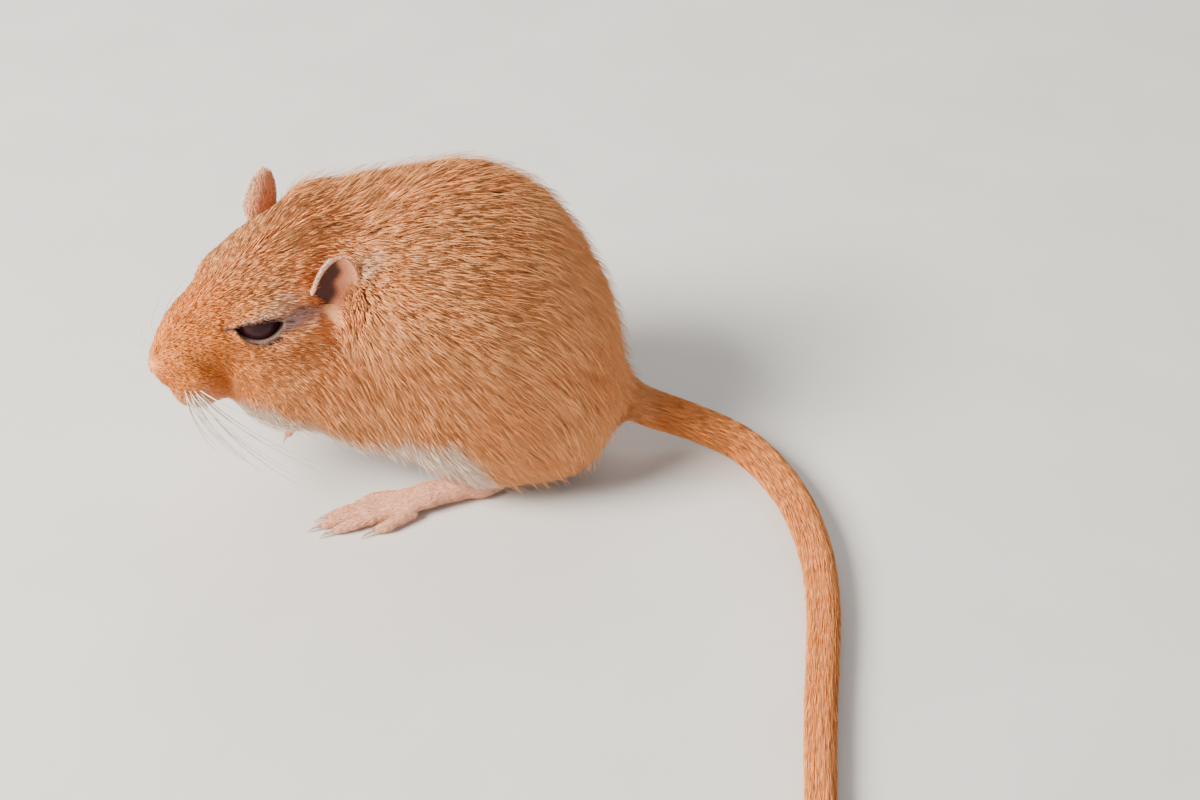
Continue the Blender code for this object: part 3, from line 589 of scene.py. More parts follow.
def ear_sheet(label, rows, columns):
    """The middle of an ear's wall as a grid of points, with the inward direction and thickness at each.

    It also returns how far each is up the ear, from 0 to 1, and across it, from -1 to 1.
    """
    base, rise, mouth, across = ear_axes(label)
    v, u = np.meshgrid(np.linspace(0, 1, rows), np.linspace(-1, 1, columns), indexing="ij")
    half_width, tall, rim_wall, wall = 3.62, 12.35, 0.16, 0.42
    width = half_width * (0.72 + 0.28 * np.sin(np.minimum(v / 0.62, 1) * math.pi / 2))
    width = width * np.where(v > 0.6, np.sqrt(np.clip(1 - ((v - 0.6) / 0.415) ** 2, 0.004, 1)), 1)
    angle = np.radians(112 - 34 * v) * u
    height = tall * (v * 1.3 - 0.3)
    roll = 0.35 * np.abs(u) ** 6 * (1 - v)
    back = width * (0.8 - 0.3 * v) * np.cos(angle) + 1.4 * v * v - roll
    aside = width * np.sin(angle)
    sheet = base + rise * height[..., None] + across * aside[..., None] - mouth * back[..., None]
    ahead = -u * HEAD_SIDES[label]
    sheet = sheet - mouth * (3.4 * ramp(0.66, 0.3, v) * ramp(0.25, 1.0, ahead))[..., None]
    down, over = np.gradient(sheet, axis=(0, 1))
    inward = unit(np.cross(down, over))
    if inward[rows // 2, columns // 2] @ mouth < 0:
        inward = -inward
    edge = np.minimum(np.minimum(1 - np.abs(u), (1 - v) * 1.6) * 5, 1)
    return sheet, inward, rim_wall + wall * np.sqrt(np.clip(edge, 0, 1)), (v, u)


def ear_shell(label, rows=34, columns=40):
    """Closed shell of an ear in drawn millimetres, with how far each point is up, across and inside it."""
    sheet, inward, thick, (v, u) = ear_sheet(label, rows, columns)
    inner, outer = (sheet + inward * (EAR_SHIFT + half * thick[..., None]) for half in (0.5, -0.5))
    points = np.concatenate((outer.reshape(-1, 3), inner.reshape(-1, 3)))
    size = rows * columns
    grid = np.arange(size).reshape(rows, columns)
    quads = np.stack((grid[:-1, :-1], grid[:-1, 1:], grid[1:, 1:], grid[1:, :-1]), axis=-1).reshape(-1, 4)
    rim = np.concatenate((grid[0], grid[1:, -1], grid[-1, -2::-1], grid[-2:0:-1, 0]))
    ahead = np.roll(rim, -1)
    band = np.stack((ahead, rim, size + rim, size + ahead), axis=1)
    faces = np.concatenate((quads, size + quads[:, ::-1], band))
    first, second, third = points[quads[0, :3]]
    if np.cross(second - first, third - first) @ inward[0, 0] > 0:
        faces = faces[:, ::-1]
    behind = u.ravel() * HEAD_SIDES[label]
    place = np.stack((np.tile(v.ravel(), 2), np.tile(behind, 2), np.repeat((0, 1), size)), axis=1)
    return from_head(points), faces, place


# Height up to which the coat is cream at places along the trunk, as (x, z).
CREAM_LINE = (
    (-40, 25), (-33, 22.5), (-27, 18.5), (-22, 15.5), (-18, 15), (-10, 17.5), (-4, 18.5), (-1.5, 17),
    (0.5, 11), (3, 6), (12, 5), (24, 4.5),
)  # fmt: skip


def markings(points):
    """Cream, grey, bare and dark shares at each point, which skin and coat both carry."""
    x, y, z = points.T
    local = in_head(points)
    head_near = ramp(2.5, -1, blended(local, HEAD_FORMS, HEAD_STRETCH))
    line = np.interp(x, *np.array(CREAM_LINE).T) + 0.5 * np.sin(x * 1.3 + y * 0.7) + 0.4 * np.sin(x * 3.1)
    cream = ramp(line + 1.6, line - 1.6, z) * ramp(30, 22, x)
    cream = cream * (1 - head_near) + head_near * ramp(-9.6, -11.6, local[:, 2]) * ramp(12, 9, local[:, 0])
    grey, dark = np.zeros(len(x)), np.zeros(len(x))
    for label, side in HEAD_SIDES.items():
        spot = np.array((1, side, 1))
        away, along, across, out = eye_place(local, side)
        near_eye = ramp(7.5, 5.8, away) * (out > 0)
        gap, share = segment_distance(np.stack((along, across), axis=1), *BROW)
        brow = ramp(0.5 + share * 1.9, share * 0.9, gap) * ramp(9, 7, away) * (out > 0)
        rim = np.abs(eye_opening(along, across))
        ear_foot = np.linalg.norm(local - EAR_FOOT * spot, axis=1)
        behind_ear = np.linalg.norm((local - EAR_BACK * spot) / (3.4, 3, 3), axis=1)
        crease, _ = segment_distance(local, *(end * spot for end in PAD_CREASE))
        cream = np.maximum(cream, 0.4 * brow)
        cream = np.maximum(cream, 0.4 * ramp(1.0, 0.4, behind_ear))
        grey = np.maximum(grey, near_eye * 0.7 * ramp(1.2, 0.3, rim))
        grey = np.maximum(grey, 0.95 * ramp(2.4, 1.1, bald_distance(local, side)))
        dark = np.maximum(dark, near_eye * ramp(0.75, 0.25, rim))
        dark = np.maximum(dark, 0.8 * ramp(1.5, 0.6, ear_foot))
        # Painted shade deep in the hollow in front of each ear and along the crease of the whisker pad.
        dark = np.maximum(dark, 0.97 * ramp(0.5, -0.1, hollow_distance(local, label)))
        dark = np.maximum(dark, 0.22 * ramp(1.3, 0.3, crease))
    bare = 0.45 * ramp(3.0, 1.8, np.linalg.norm(local - NOSE_TIP, axis=1))
    for bars, share in ((FOOT_BARS, 0.7), (HAND_BARS, 0.9)):
        for path, sizes, _ in bars:
            near = near_path(points, path, 3)
            if len(near):
                touch = ramp(1.2, 0.3, bar_distance(points[near], path, sizes))
                bare[near] = np.maximum(bare[near], share * touch)
                cream[near] = np.maximum(cream[near], 0.4 * touch)
    return np.clip(np.stack((cream, grey, bare, dark), axis=1), 0, 1)


def ear_markings(place):
    """The same four shares on an ear, from how far each point is up, behind and inside it."""
    up, behind, inside = place.T
    inner = inside > 0.5
    # Painted shade in the canal, deep inside the ear's cup.
    canal = ramp(0.97, 0.8, up + 0.3 * behind) * ramp(0.24, -0.1, behind + 0.06 * np.sin(up * 21))
    canal = canal * ramp(-1.0, -0.7, behind)
    cream, bare = np.where(inner, 0.35, 0.3), np.where(inner, 0.9, 0.45)
    grey, dark = 0.85 * ramp(0.6, 0.42, up), np.where(inner, 0.97 * canal, 0.0)
    return np.clip(np.stack((cream, grey, bare, dark), axis=1), 0, 1)


def put_colour(mesh, name, values):
    layer = mesh.attributes.new(name, "FLOAT_COLOR", "POINT")
    layer.data.foreach_set("color", np.ascontiguousarray(values, np.float32).ravel())


def merged(parts):
    """The points and faces of several meshes as one."""
    starts = np.cumsum([0, *(len(points) for points, _ in parts)])
    faces = [faces + start for (_, faces), start in zip(parts, starts)]
    return np.concatenate([points for points, _ in parts]), np.concatenate(faces)


def mesh_piece(name, points, faces, finish, slot="golden_coat"):
    """A shown piece from drawn points and equal-sided faces, with smooth shading."""
    mesh = bpy.data.meshes.new(name)
    faces = np.asarray(faces, np.int32)
    sides = faces.shape[1]
    mesh.vertices.add(len(points))
    mesh.vertices.foreach_set("co", np.ascontiguousarray(placed(points), np.float32).ravel())
    mesh.loops.add(faces.size)
    mesh.loops.foreach_set("vertex_index", faces.ravel())
    mesh.polygons.add(len(faces))
    mesh.polygons.foreach_set("loop_start", np.arange(0, faces.size, sides, dtype=np.int32))
    mesh.update(calc_edges=True)
    mesh.validate()
    mesh.shade_smooth()
    mesh.materials.append(finish)
    made = bpy.data.objects.new(name, mesh)
    bpy.context.scene.collection.objects.link(made)
    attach(made, "root")
    return made


def shaded(name, **values):
    """A new material, its node tree and its shader, whose sockets get values, as in Coat_Weight=0.1."""
    made = bpy.data.materials.new(name)
    made.use_nodes = True
    shader = made.node_tree.nodes["Principled BSDF"]
    for socket, value in values.items():
        shader.inputs[socket.replace("_", " ")].default_value = value
    return made, made.node_tree, shader


def mix(tree, share, low, high, blend="MIX"):
    """A colour mix of low and high by share. Each may be a socket or a plain value."""
    node = tree.nodes.new("ShaderNodeMix")
    node.data_type = "RGBA"
    node.blend_type = blend
    for socket, value in ((node.inputs["Factor"], share), (node.inputs["A"], low), (node.inputs["B"], high)):
        if isinstance(value, bpy.types.NodeSocket):
            tree.links.new(value, socket)
        elif isinstance(value, (int, float)):
            socket.default_value = value
        else:
            socket.default_value = (*value, 1)
    return node.outputs["Result"]


def spread_of(tree, socket, low, high, to_low=0.0, to_high=1.0):
    """The socket's range from low to high, spread smoothly from to_low to to_high."""
    node = tree.nodes.new("ShaderNodeMapRange")
    node.interpolation_type = "SMOOTHSTEP"
    tree.links.new(socket, node.inputs["Value"])
    for name, value in (("From Min", low), ("From Max", high), ("To Min", to_low), ("To Max", to_high)):
        node.inputs[name].default_value = value
    return node.outputs["Result"]


def parts_of(tree, attribute):
    """The red, green, blue and alpha sockets of a colour attribute."""
    source = tree.nodes.new("ShaderNodeAttribute")
    source.attribute_name = attribute
    split = tree.nodes.new("ShaderNodeSeparateColor")
    tree.links.new(source.outputs["Color"], split.inputs["Color"])
    return [*split.outputs, source.outputs["Alpha"]]


def noise(tree, scale, detail, roughness=0.5):
    where = tree.nodes.new("ShaderNodeTexCoord")
    node = tree.nodes.new("ShaderNodeTexNoise")
    node.inputs["Scale"].default_value = scale
    node.inputs["Detail"].default_value = detail
    node.inputs["Roughness"].default_value = roughness
    tree.links.new(where.outputs["Object"], node.inputs["Vector"])
    return node.outputs["Fac"]


def marked_colour(tree, settings):
    """The coat's colour from the markings, mottled at two scales."""
    cream, grey, bare, dark = parts_of(tree, "markings")
    broad = spread_of(tree, noise(tree, 90, 3), 0.35, 0.65)
    golden = mix(tree, broad, settings.golden, settings.amber)
    colour = mix(tree, cream, golden, settings.cream)
    colour = mix(tree, grey, colour, settings.thin_grey)
    colour = mix(tree, bare, colour, settings.bare_pink)
    # The dark share: the lids' real dark rims, a spot at each ear's foot, and painted shade in the ears'
    # hollows and canals and the pads' creases.
    return mix(tree, dark, colour, settings.dark_rim_and_shade)


def skin_material(settings):
    made, tree, shader = shaded(
        "gerbil_skin", Roughness=0.62, Specular_IOR_Level=0.18, Subsurface_Weight=0.12,
        Subsurface_Radius=(0.0012, 0.0005, 0.0003), Subsurface_Scale=1.0,
    )  # fmt: skip
    colour = marked_colour(tree, settings)
    _, _, bare, _ = parts_of(tree, "markings")
    fine = noise(tree, 2600, 4, 0.6)
    under = mix(tree, 0.22, colour, settings.under_fur)
    colour = mix(tree, bare, under, colour)
    # Painted shade seen between the tufts: the skin is darkened in fine speckles with the roots' shade
    # colour.
    colour = mix(tree, spread_of(tree, fine, 0.3, 0.7, 0.45, 0.0), colour, settings.root_shade, "MULTIPLY")
    tree.links.new(colour, shader.inputs["Base Color"])
    bump = tree.nodes.new("ShaderNodeBump")
    bump.inputs["Strength"].default_value = 0.5
    bump.inputs["Distance"].default_value = 0.00008
    tree.links.new(fine, bump.inputs["Height"])
    tree.links.new(bump.outputs["Normal"], shader.inputs["Normal"])
    return made


def coat_material(settings):
    """Coat colour over the markings: painted shade at the roots, each tuft in its own tone, and some dark
    tips.
    """
    made, tree, shader = shaded("gerbil_coat", Roughness=0.62, Specular_IOR_Level=0.14)
    colour = marked_colour(tree, settings)
    along, tone, tick, warm = parts_of(tree, "strand")
    colour = mix(tree, warm, colour, settings.warm_orange)
    # Painted shade where the tufts shade each other: the strand's first channel, read here as along, darkens
    # each tuft towards its root.
    under = mix(tree, 0.75, colour, settings.root_shade, "MULTIPLY")
    colour = mix(tree, spread_of(tree, along, 0.0, 0.5), under, colour)
    colour = mix(tree, spread_of(tree, tone, 0.0, 0.7, 0.5, 0.0), colour, (0.55, 0.36, 0.24), "MULTIPLY")
    colour = mix(tree, spread_of(tree, tone, 0.5, 1.0, 0.0, 0.10), colour, (1.0, 0.80, 0.55))
    tip = tree.nodes.new("ShaderNodeMath")
    tip.operation = "MULTIPLY"
    tree.links.new(tick, tip.inputs[0])
    tree.links.new(spread_of(tree, along, 0.45, 0.95), tip.inputs[1])
    tree.links.new(mix(tree, tip.outputs[0], colour, settings.tick_brown), shader.inputs["Base Color"])
    return made


def mottled(name, low, high, scale, detail, edge=0.3, **values):
    """A material of two colours, mottled by noise that is cut off at edge from both its ends."""
    made, tree, shader = shaded(name, **values)
    share = spread_of(tree, noise(tree, scale, detail), edge, 1 - edge)
    tree.links.new(mix(tree, share, low, high), shader.inputs["Base Color"])
    return made


def eye_material():
    return mottled(
        "eyeball", (0.022, 0.004, 0.008), (0.036, 0.008, 0.014), 700, 2,
        Roughness=0.3, Specular_IOR_Level=0.1, Coat_Weight=0.12, Coat_Roughness=0.06,
    )  # fmt: skip


def horn_material():
    return mottled(
        "claw_keratin", (0.44, 0.27, 0.20), (0.68, 0.50, 0.40), 1800, 4,
        Roughness=0.35, Subsurface_Weight=0.1, Subsurface_Scale=0.0004,
    )  # fmt: skip


def whisker_material():
    return mottled("whisker_hair", (0.55, 0.45, 0.36), (0.82, 0.74, 0.66), 500, 2, Roughness=0.3)


def floor_material():
    return mottled("studio_floor", (0.70, 0.69, 0.67), (0.75, 0.74, 0.72), 40, 5, edge=0.2, Roughness=0.8)


def finish_named(name, make, *settings):
    return bpy.data.materials.get(name) or make(*settings)


COAT_SEED, WHISKER_SEED = 7, 11  # for the random draws
CLUMP_SIZE = 13  # tufts that lean together
# Where the tail's coat and the feet's coat begin, in drawn millimetres.
TAIL_BEHIND, TAIL_LEFT, FEET_BELOW = 25.5, -26, 9
BAKE_PATCH = 0.003  # how much of the OFBake square each tuft has at its root
# The trunk's coat is cut into pieces at these places along it, and unwrapped round its middle.
TRUNK_CUTS, TRUNK_MIDDLE = (-math.inf, -10, 6, math.inf), (-2, 2, 22)
# The layers of the trunk's coat: length, the ranges of the tips' height in coat depths and of the width, the
# share of dark tips, the steps along a tuft, and the pull of its clump, with what that loses on the head.
UNDERCOAT = SimpleNamespace(
    back_only=False, long=1.05, rise=(0.4, 1.0), wide=(0.13, 0.26), ticked=0.1, steps=2, pull=(0.42, 0.2)
)
GUARD_HAIR = SimpleNamespace(
    back_only=True, long=0.95, rise=(0.9, 1.6), wide=(0.07, 0.11), ticked=0.5, steps=3, pull=(0.1, 0.0)
)


def near_tail(points):
    """1 at the root of the tail, falling to 0 on the rump round it."""
    away, _ = segment_distance(points, TAIL_PATH[2], TAIL_PATH[9])
    return ramp(9.0, 4.5, away) * (points[:, 0] > 15)


def nearest(points, places):
    """The number of the place that is nearest to each point."""
    tree = KDTree(len(places))
    for number, place in enumerate(places):
        tree.insert(place, number)
    tree.balance()
    return np.array([tree.find(point)[1] for point in points])


def combed(points, kind):
    """The lie of the coat, as directions that are then laid along the skin."""
    x, y, z = points.T
    if kind == "tail":
        ahead = np.vstack((np.diff(TAIL_PATH, axis=0), TAIL_PATH[-1] - TAIL_PATH[-2]))
        return unit(ahead[nearest(points, TAIL_PATH)])
    if kind == "paw":
        flow = np.zeros((len(x), 3))
        for _, side in SIDES:
            flow[y * side > 0] = foot_axes(side)[1]
        flow[:, 2] -= 0.15
        return flow
    local = in_head(points)
    # Along the trunk: backwards, more and more downwards on the flanks, and down over the rump.
    down = 0.12 + 0.75 * ramp(44, 22, z) + 0.35 * ramp(22, 8, z) + 0.9 * ramp(8, 20, x)
    flow = np.stack((1 - 0.55 * ramp(10, 22, x), 0.10 * np.sign(y - 2), -down), axis=1)
    chest = ramp(-20, -32, x) * ramp(26, 18, z)
    flow = flow * (1 - chest)[:, None] + chest[:, None] * np.array((0.35, 0.0, -1.0))
    # Over the head: backwards, down on the cheeks, and apart along the middle of the crown.
    cheek = ramp(2, -8, local[:, 2])
    face = -HEAD[:, 0] + HEAD[:, 2] * (-0.25 - 0.5 * cheek)[:, None]
    face = face + HEAD[:, 1] * (0.18 * np.sign(local[:, 1]) * ramp(-2, 6, local[:, 2]))[:, None]
    trunk, head, _ = body_fields(points)
    weight = ramp(2.5, -2.5, head - trunk)[:, None]
    flow = unit(flow) * (1 - weight) + unit(face) * weight
    root = near_tail(points)[:, None]
    return flow * (1 - root) + unit(TAIL_PATH[9] - TAIL_PATH[3]) * root


def grown(roots, field, lengths, heights, kind, rng, steps, sway, clump):
    """The middle lines of tufts that leave the roots and lie down along the skin, ending at heights above it.

    It also returns the normals at their tips and the tuft that leads each one's clump.
    """
    normals = unit(gradient(field, roots)[1])
    turn = rng.normal(0, sway, len(roots))
    line = [roots]
    for step in range(1, steps + 1):
        flow = combed(line[-1], kind)
        flow = unit(flow - normals * (flow * normals).sum(axis=1, keepdims=True))
        flow = unit(flow + np.cross(normals, flow) * turn[:, None])
        there = line[-1] + flow * (lengths / steps)[:, None]
        value, slope = gradient(field, there)
        normals = unit(slope)
        rise = heights * (1 - (1 - step / steps) ** 1.7)
        line.append(there + normals * (rise - value)[:, None])
    line = np.stack(line, axis=1)
    leader = np.arange(len(roots))
    if np.any(clump):
        leaders = np.flatnonzero(rng.random(len(roots)) < 1 / CLUMP_SIZE)
        leader = leaders[nearest(roots, roots[leaders])]
        for step in range(1, steps + 1):
            target = line[leader, step]
            pull = clump[:, None] * (step / steps) ** 1.2
            line[:, step] = line[:, step] * (1 - pull) + target * pull
    return line, normals, leader


def tuft_mesh(lines, normals, widths):
    """Closed three-sided tufts along lines.

    It returns points and faces, each point's share of the way to the tip and across, and the points per tuft.
    """
    count, rings, _ = lines.shape
    profile = {3: (0.55, 1.0, 0.0), 4: (0.5, 1.0, 0.72, 0.0)}[rings]
    points, along, cross = [], [], []
    lift = unit(normals)
    for k in range(rings - 1):
        ahead = unit(lines[:, k + 1] - lines[:, max(k - 1, 0)])
        side = unit(np.cross(lift, ahead))
        over = np.cross(ahead, side)
        wide = (widths * profile[k])[:, None]
        for number, (a, b) in enumerate(((-0.5, -0.12), (0.5, -0.12), (0.0, 0.36))):
            points.append(lines[:, k] + side * wide * a + over * wide * b)
            along.append(np.full(count, k / (rings - 1)))
            cross.append(np.full(count, (0.0, 1.0, 0.5)[number]))
    points.append(lines[:, -1])
    along.append(np.ones(count))
    cross.append(np.full(count, 0.5))
    points, along, cross = (np.stack(part, axis=1) for part in (points, along, cross))
    pattern = [(0, 1, 2)]
    for k in range(rings - 2):
        a, b = k * 3, k * 3 + 3
        for i in range(3):
            j = (i + 1) % 3
            pattern += [(a + i, b + i, b + j), (a + i, b + j, a + j)]
    a, tip = (rings - 2) * 3, (rings - 1) * 3
    pattern += [(a + i, tip, a + (i + 1) % 3) for i in range(3)]
    pattern = np.array(pattern)
    size = points.shape[1]
    faces = (pattern[None] + (np.arange(count) * size)[:, None, None]).reshape(-1, 3)
    return points.reshape(-1, 3), faces, along.ravel(), cross.ravel(), size


def round_unwrap(roots, centre, axis):
    """Flattens roots seen round a centre onto a disc of equal area, inside the unit square."""
    axis = unit(axis)
    side = unit(np.cross(axis, (0.31, 0.95, 0.02)))
    over = np.cross(axis, side)
    away = unit(roots - np.asarray(centre, float))
    reach = np.sqrt(np.clip((1 - away @ axis) / 2, 0, 1)) * 0.49
    turn = np.arctan2(away @ over, away @ side)
    return np.stack((0.5 + reach * np.cos(turn), 0.5 + reach * np.sin(turn)), axis=1) * 0.994


def tail_unwrap(roots):
    """Flattens roots on the tail onto a strip along it, inside the unit square."""
    number = nearest(roots, TAIL_PATH)
    off = roots - TAIL_PATH[number]
    along = np.clip((number + 0.5) / len(TAIL_PATH) + off[:, 1] * 0.004, 0, 0.99)
    return np.stack((along, 0.5 + np.arctan2(off[:, 2], off[:, 0]) / 6.5), axis=1)


def tufts_of(lines, normals, widths, tone, marks, shadow, ticks=0.0, warm=0.0):
    """What coat_piece needs of its tufts, with one value for each of them throughout."""
    none = np.zeros(len(lines))
    return SimpleNamespace(
        lines=lines, normals=normals, widths=widths, tone=tone, marks=marks, shadow=none + shadow,
        ticks=none + ticks, warm=none + warm,
    )  # fmt: skip


def coat_piece(name, tufts, roots, unwrap, finish, chosen=slice(None)):
    """A piece of the coat from the chosen tufts, each with a patch of the OFBake map at its root."""
    tufts = SimpleNamespace(**{key: part[chosen] for key, part in vars(tufts).items()})
    points, faces, along, cross, size = tuft_mesh(tufts.lines, tufts.normals, tufts.widths)
    made = mesh_piece(name, points, faces, finish)
    shadow, tone, ticks, warm = (
        np.repeat(part, size) for part in (tufts.shadow, tufts.tone, tufts.ticks, tufts.warm)
    )
    put_colour(made.data, "markings", np.repeat(tufts.marks, size, axis=0))
    # The strand's first channel is painted shade, darker towards each tuft's root by its shadow share.
    put_colour(made.data, "strand", np.stack((1 - shadow * (1 - along), tone, ticks, warm), axis=1))
    corner = np.repeat(unwrap(roots[chosen]), size, axis=0) + np.stack((along, cross), axis=1) * BAKE_PATCH
    layer = made.data.uv_layers.new(name="OFBake")
    layer.data.foreach_set("uv", np.ascontiguousarray(corner[faces.ravel()], np.float32).ravel())
    return made


class GerbilSizes(bpy.types.PropertyGroup):
    """Sizes and colours that a user would change."""

    back_hair: FloatProperty(
        name="Back hair", description="Length of the coat on the back", unit="LENGTH", default=6.2 * MM
    )
    face_hair: FloatProperty(
        name="Face hair", description="Length of the coat on the cheek", unit="LENGTH", default=2.3 * MM
    )
    tail_hair: FloatProperty(
        name="Tail hair", description="Length of the coat on the tail", unit="LENGTH", default=5.4 * MM
    )
    whisker: FloatProperty(
        name="Whiskers", description="Length of the longest whisker", unit="LENGTH", default=20 * MM
    )
    trunk_tufts: IntProperty(name="Trunk tufts", description="Number of tufts on the trunk", default=74000)
    guard_hairs: IntProperty(name="Guard hairs", description="Number of long single hairs", default=7500)
    head_tufts: IntProperty(name="Head tufts", description="Number of tufts on the head", default=36000)
    tail_tufts: IntProperty(name="Tail tufts", description="Number of tufts on the tail", default=15000)
    paw_tufts: IntProperty(name="Foot tufts", description="Number of tufts on the feet", default=8500)
    golden: FloatVectorProperty(
        name="Golden", description="Main colour", subtype="COLOR", default=(0.93, 0.44, 0.175)
    )
    amber: FloatVectorProperty(
        name="Amber", description="Second coat colour", subtype="COLOR", default=(0.90, 0.385, 0.14)
    )
    warm_orange: FloatVectorProperty(
        name="Orange", description="Tint of muzzle and tail", subtype="COLOR", default=(0.90, 0.26, 0.025)
    )
    cream: FloatVectorProperty(
        name="Cream", description="Belly and brow colour", subtype="COLOR", default=(0.98, 0.80, 0.65)
    )
    thin_grey: FloatVectorProperty(
        name="Grey", description="Thinly furred skin", subtype="COLOR", default=(0.36, 0.20, 0.22)
    )
    bare_pink: FloatVectorProperty(
        name="Pink", description="Bare skin", subtype="COLOR", default=(0.84, 0.34, 0.18)
    )
    # Colour of the lids' dark rims and each ear's foot, and of the painted shade in the ears' canals and
    # hollows and the pads' creases.
    dark_rim_and_shade: FloatVectorProperty(
        name="Rim", description="Lid rims and ear canal", subtype="COLOR", default=(0.035, 0.010, 0.016)
    )
    under_fur: FloatVectorProperty(
        name="Under fur", description="Tint of the skin", subtype="COLOR", default=(0.80, 0.55, 0.40)
    )
    # Colour of the painted shade at the tufts' roots and in the skin's fine speckles.
    root_shade: FloatVectorProperty(
        name="Roots", description="Colour at the roots", subtype="COLOR", default=(0.50, 0.36, 0.29)
    )
    tick_brown: FloatVectorProperty(
        name="Ticks", description="Dark hair tips", subtype="COLOR", default=(0.20, 0.085, 0.04)
    )


# Each light's place, size, power and colour, in metres and watts, and the place that they all face. The
# camera's place is in drawn millimetres.
STUDIO_LIGHTS = (
    ((-0.54, -0.24, 0.52), 0.36, 19.0, (1.0, 0.94, 0.85)),
    ((0.50, -0.45, 0.40), 0.6, 0.5, (0.93, 0.95, 1.0)),
    ((0.05, 0.60, 0.42), 0.5, 2.4, (1.0, 0.97, 0.93)),
)
LIGHTS_AIM = (0.0, 0.035, 0.02)
CAMERA_SPOT, CAMERA_TILT = (20.1, -228.0, 189.3), math.radians(52)
CAMERA_LENS, CAMERA_SENSOR = 54, 36


class GERBIL_OT_stage(bpy.types.Operator):
    """Lay the floor, and place the lights and the camera"""

    bl_idname = "gerbil.stage"
    bl_label = "Stage"

    def execute(self, context):
        bpy.ops.object.select_all(action="DESELECT")
        bpy.ops.mesh.primitive_plane_add(size=6, location=(0, 0, 0))
        floor = context.object
        floor.name = "floor"
        floor.data.materials.append(floor_material())
        for spot, size, power, colour in STUDIO_LIGHTS:
            aim = Vector(LIGHTS_AIM) - Vector(spot)
            turn = aim.to_track_quat("-Z", "Y").to_euler()
            bpy.ops.object.light_add(type="AREA", location=spot, rotation=turn)
            light = context.object
            light.data.size = size
            light.data.energy = power
            light.data.color = colour
        world = context.scene.world or bpy.data.worlds.new("World")
        context.scene.world = world
        world.use_nodes = True
        sky = world.node_tree.nodes["Background"]
        sky.inputs["Color"].default_value = (1.0, 0.985, 0.96, 1)
        sky.inputs["Strength"].default_value = 0.33
        bpy.ops.object.camera_add(location=placed(CAMERA_SPOT), rotation=(CAMERA_TILT, 0, 0))
        camera = context.object
        camera.data.sensor_width = CAMERA_SENSOR
        camera.data.lens = CAMERA_LENS
        camera.data.clip_start = 0.01
        context.scene.camera = camera
        return {"FINISHED"}


# The grid that the skin is drawn on, finest at the face, as places along each axis and the spacing from each.
SKIN_GRID = (
    ((-50, 0.62), (-48, 0.31), (-22, 0.62), (24, 0.8), (58, 0.8)),
    ((-112, 0.8), (-24, 0.5), (-20, 0.34), (4, 0.6), (28, 0.6)),
    ((-1.5, 0.42), (14, 0.5), (20, 0.34), (40, 0.6), (54, 0.6)),
)


class GERBIL_OT_skin(bpy.types.Operator):
    """Make the one skin of body, head, ears, legs and tail"""

    bl_idname = "gerbil.skin"
    bl_label = "Skin"

    def execute(self, context):
        settings = context.scene.gerbil
        points, faces = surface_points(skin_field, [graded(stops) for stops in SKIN_GRID])
        points = settle(relaxed(points, faces, skin_field, rounds=5), skin_field, turns=2)
        parts, marks = [(points, faces)], [markings(points)]
        for label in HEAD_SIDES:
            shell, loops, place = ear_shell(label)
            parts.append((shell, loops))
            marks.append(ear_markings(place))
        skin = mesh_piece("skin", *merged(parts), finish_named("gerbil_skin", skin_material, settings))
        put_colour(skin.data, "markings", np.concatenate(marks))
        flesh = [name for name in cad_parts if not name.startswith(("eye", "claw", "nail"))]
        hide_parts(*sorted(flesh))
        return {"FINISHED"}


class GERBIL_OT_eyes(bpy.types.Operator):
    """Make the two glossy eyeballs"""

    bl_idname = "gerbil.eyes"
    bl_label = "Eyes"

    def execute(self, context):
        for label, side in HEAD_SIDES.items():
            spot = placed(from_head(eye_centre(side)))
            outward = Vector(HEAD @ eye_axes(side)[0])
            turn = outward.to_track_quat("Z", "Y").to_euler()
            bpy.ops.object.select_all(action="DESELECT")
            bpy.ops.mesh.primitive_uv_sphere_add(
                segments=64, ring_count=40, radius=EYE_RADIUS * MM, location=spot, rotation=turn
            )
            ball = context.object
            ball.name = f"eyeball_{label}"
            bpy.ops.object.transform_apply(location=True, rotation=True, scale=True)
            bpy.ops.object.shade_smooth()
            ball.data.materials.append(finish_named("eyeball", eye_material))
            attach(ball, "root")
            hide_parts(f"eye_{label}")
        return {"FINISHED"}


def ring(centre, side, over, wide, high, count):
    """count points round an ellipse of half width wide along side and half height high along over."""
    turns = [2 * math.pi * number / count for number in range(count)]
    return [centre + side * (wide * math.cos(turn)) + over * (high * math.sin(turn)) for turn in turns]


def between_rings(rings, sides, reverse=False):
    """Triangles between rings of points. reverse is for rings that run the other way round."""
    faces = []
    for a in range(0, (rings - 1) * sides, sides):
        for j in range(sides):
            i, b = (j + 1) % sides, a + sides
            second, last = (a + i, b + j) if reverse else (b + j, a + i)
            faces += [(a + j, second, b + i), (a + j, b + i, last)]
    return faces


def horn_tube(root, direction, length, radius):
    """Points and triangles of a claw that bends down to a blunt point and is narrower than it is high."""
    rings, sides, narrow = 9, 12, 0.78
    direction = unit(direction)
    side = unit(np.cross(direction, (0, 0, 1)))
    over = np.cross(side, direction)
    points = []
    for k in range(rings):
        t = k / (rings - 1)
        centre = np.asarray(root) + direction * (length * t) + (0, 0, length * (0.22 * t - 0.5 * t * t))
        centre[2] = max(centre[2], CLAW_LOW)
        girth = radius * (1 - t**1.4 * 0.88)
        points += ring(centre, side, over, girth * narrow, girth, sides)
    faces = between_rings(rings, sides)
    first, last = len(points), len(points) + 1
    points += [np.mean(points[:sides], axis=0), np.mean(points[-sides:], axis=0)]
    faces += [(first, j, (j + 1) % sides) for j in range(sides)]
    end = (rings - 1) * sides
    faces += [(last, end + (j + 1) % sides, end + j) for j in range(sides)]
    return np.array(points), np.array(faces)


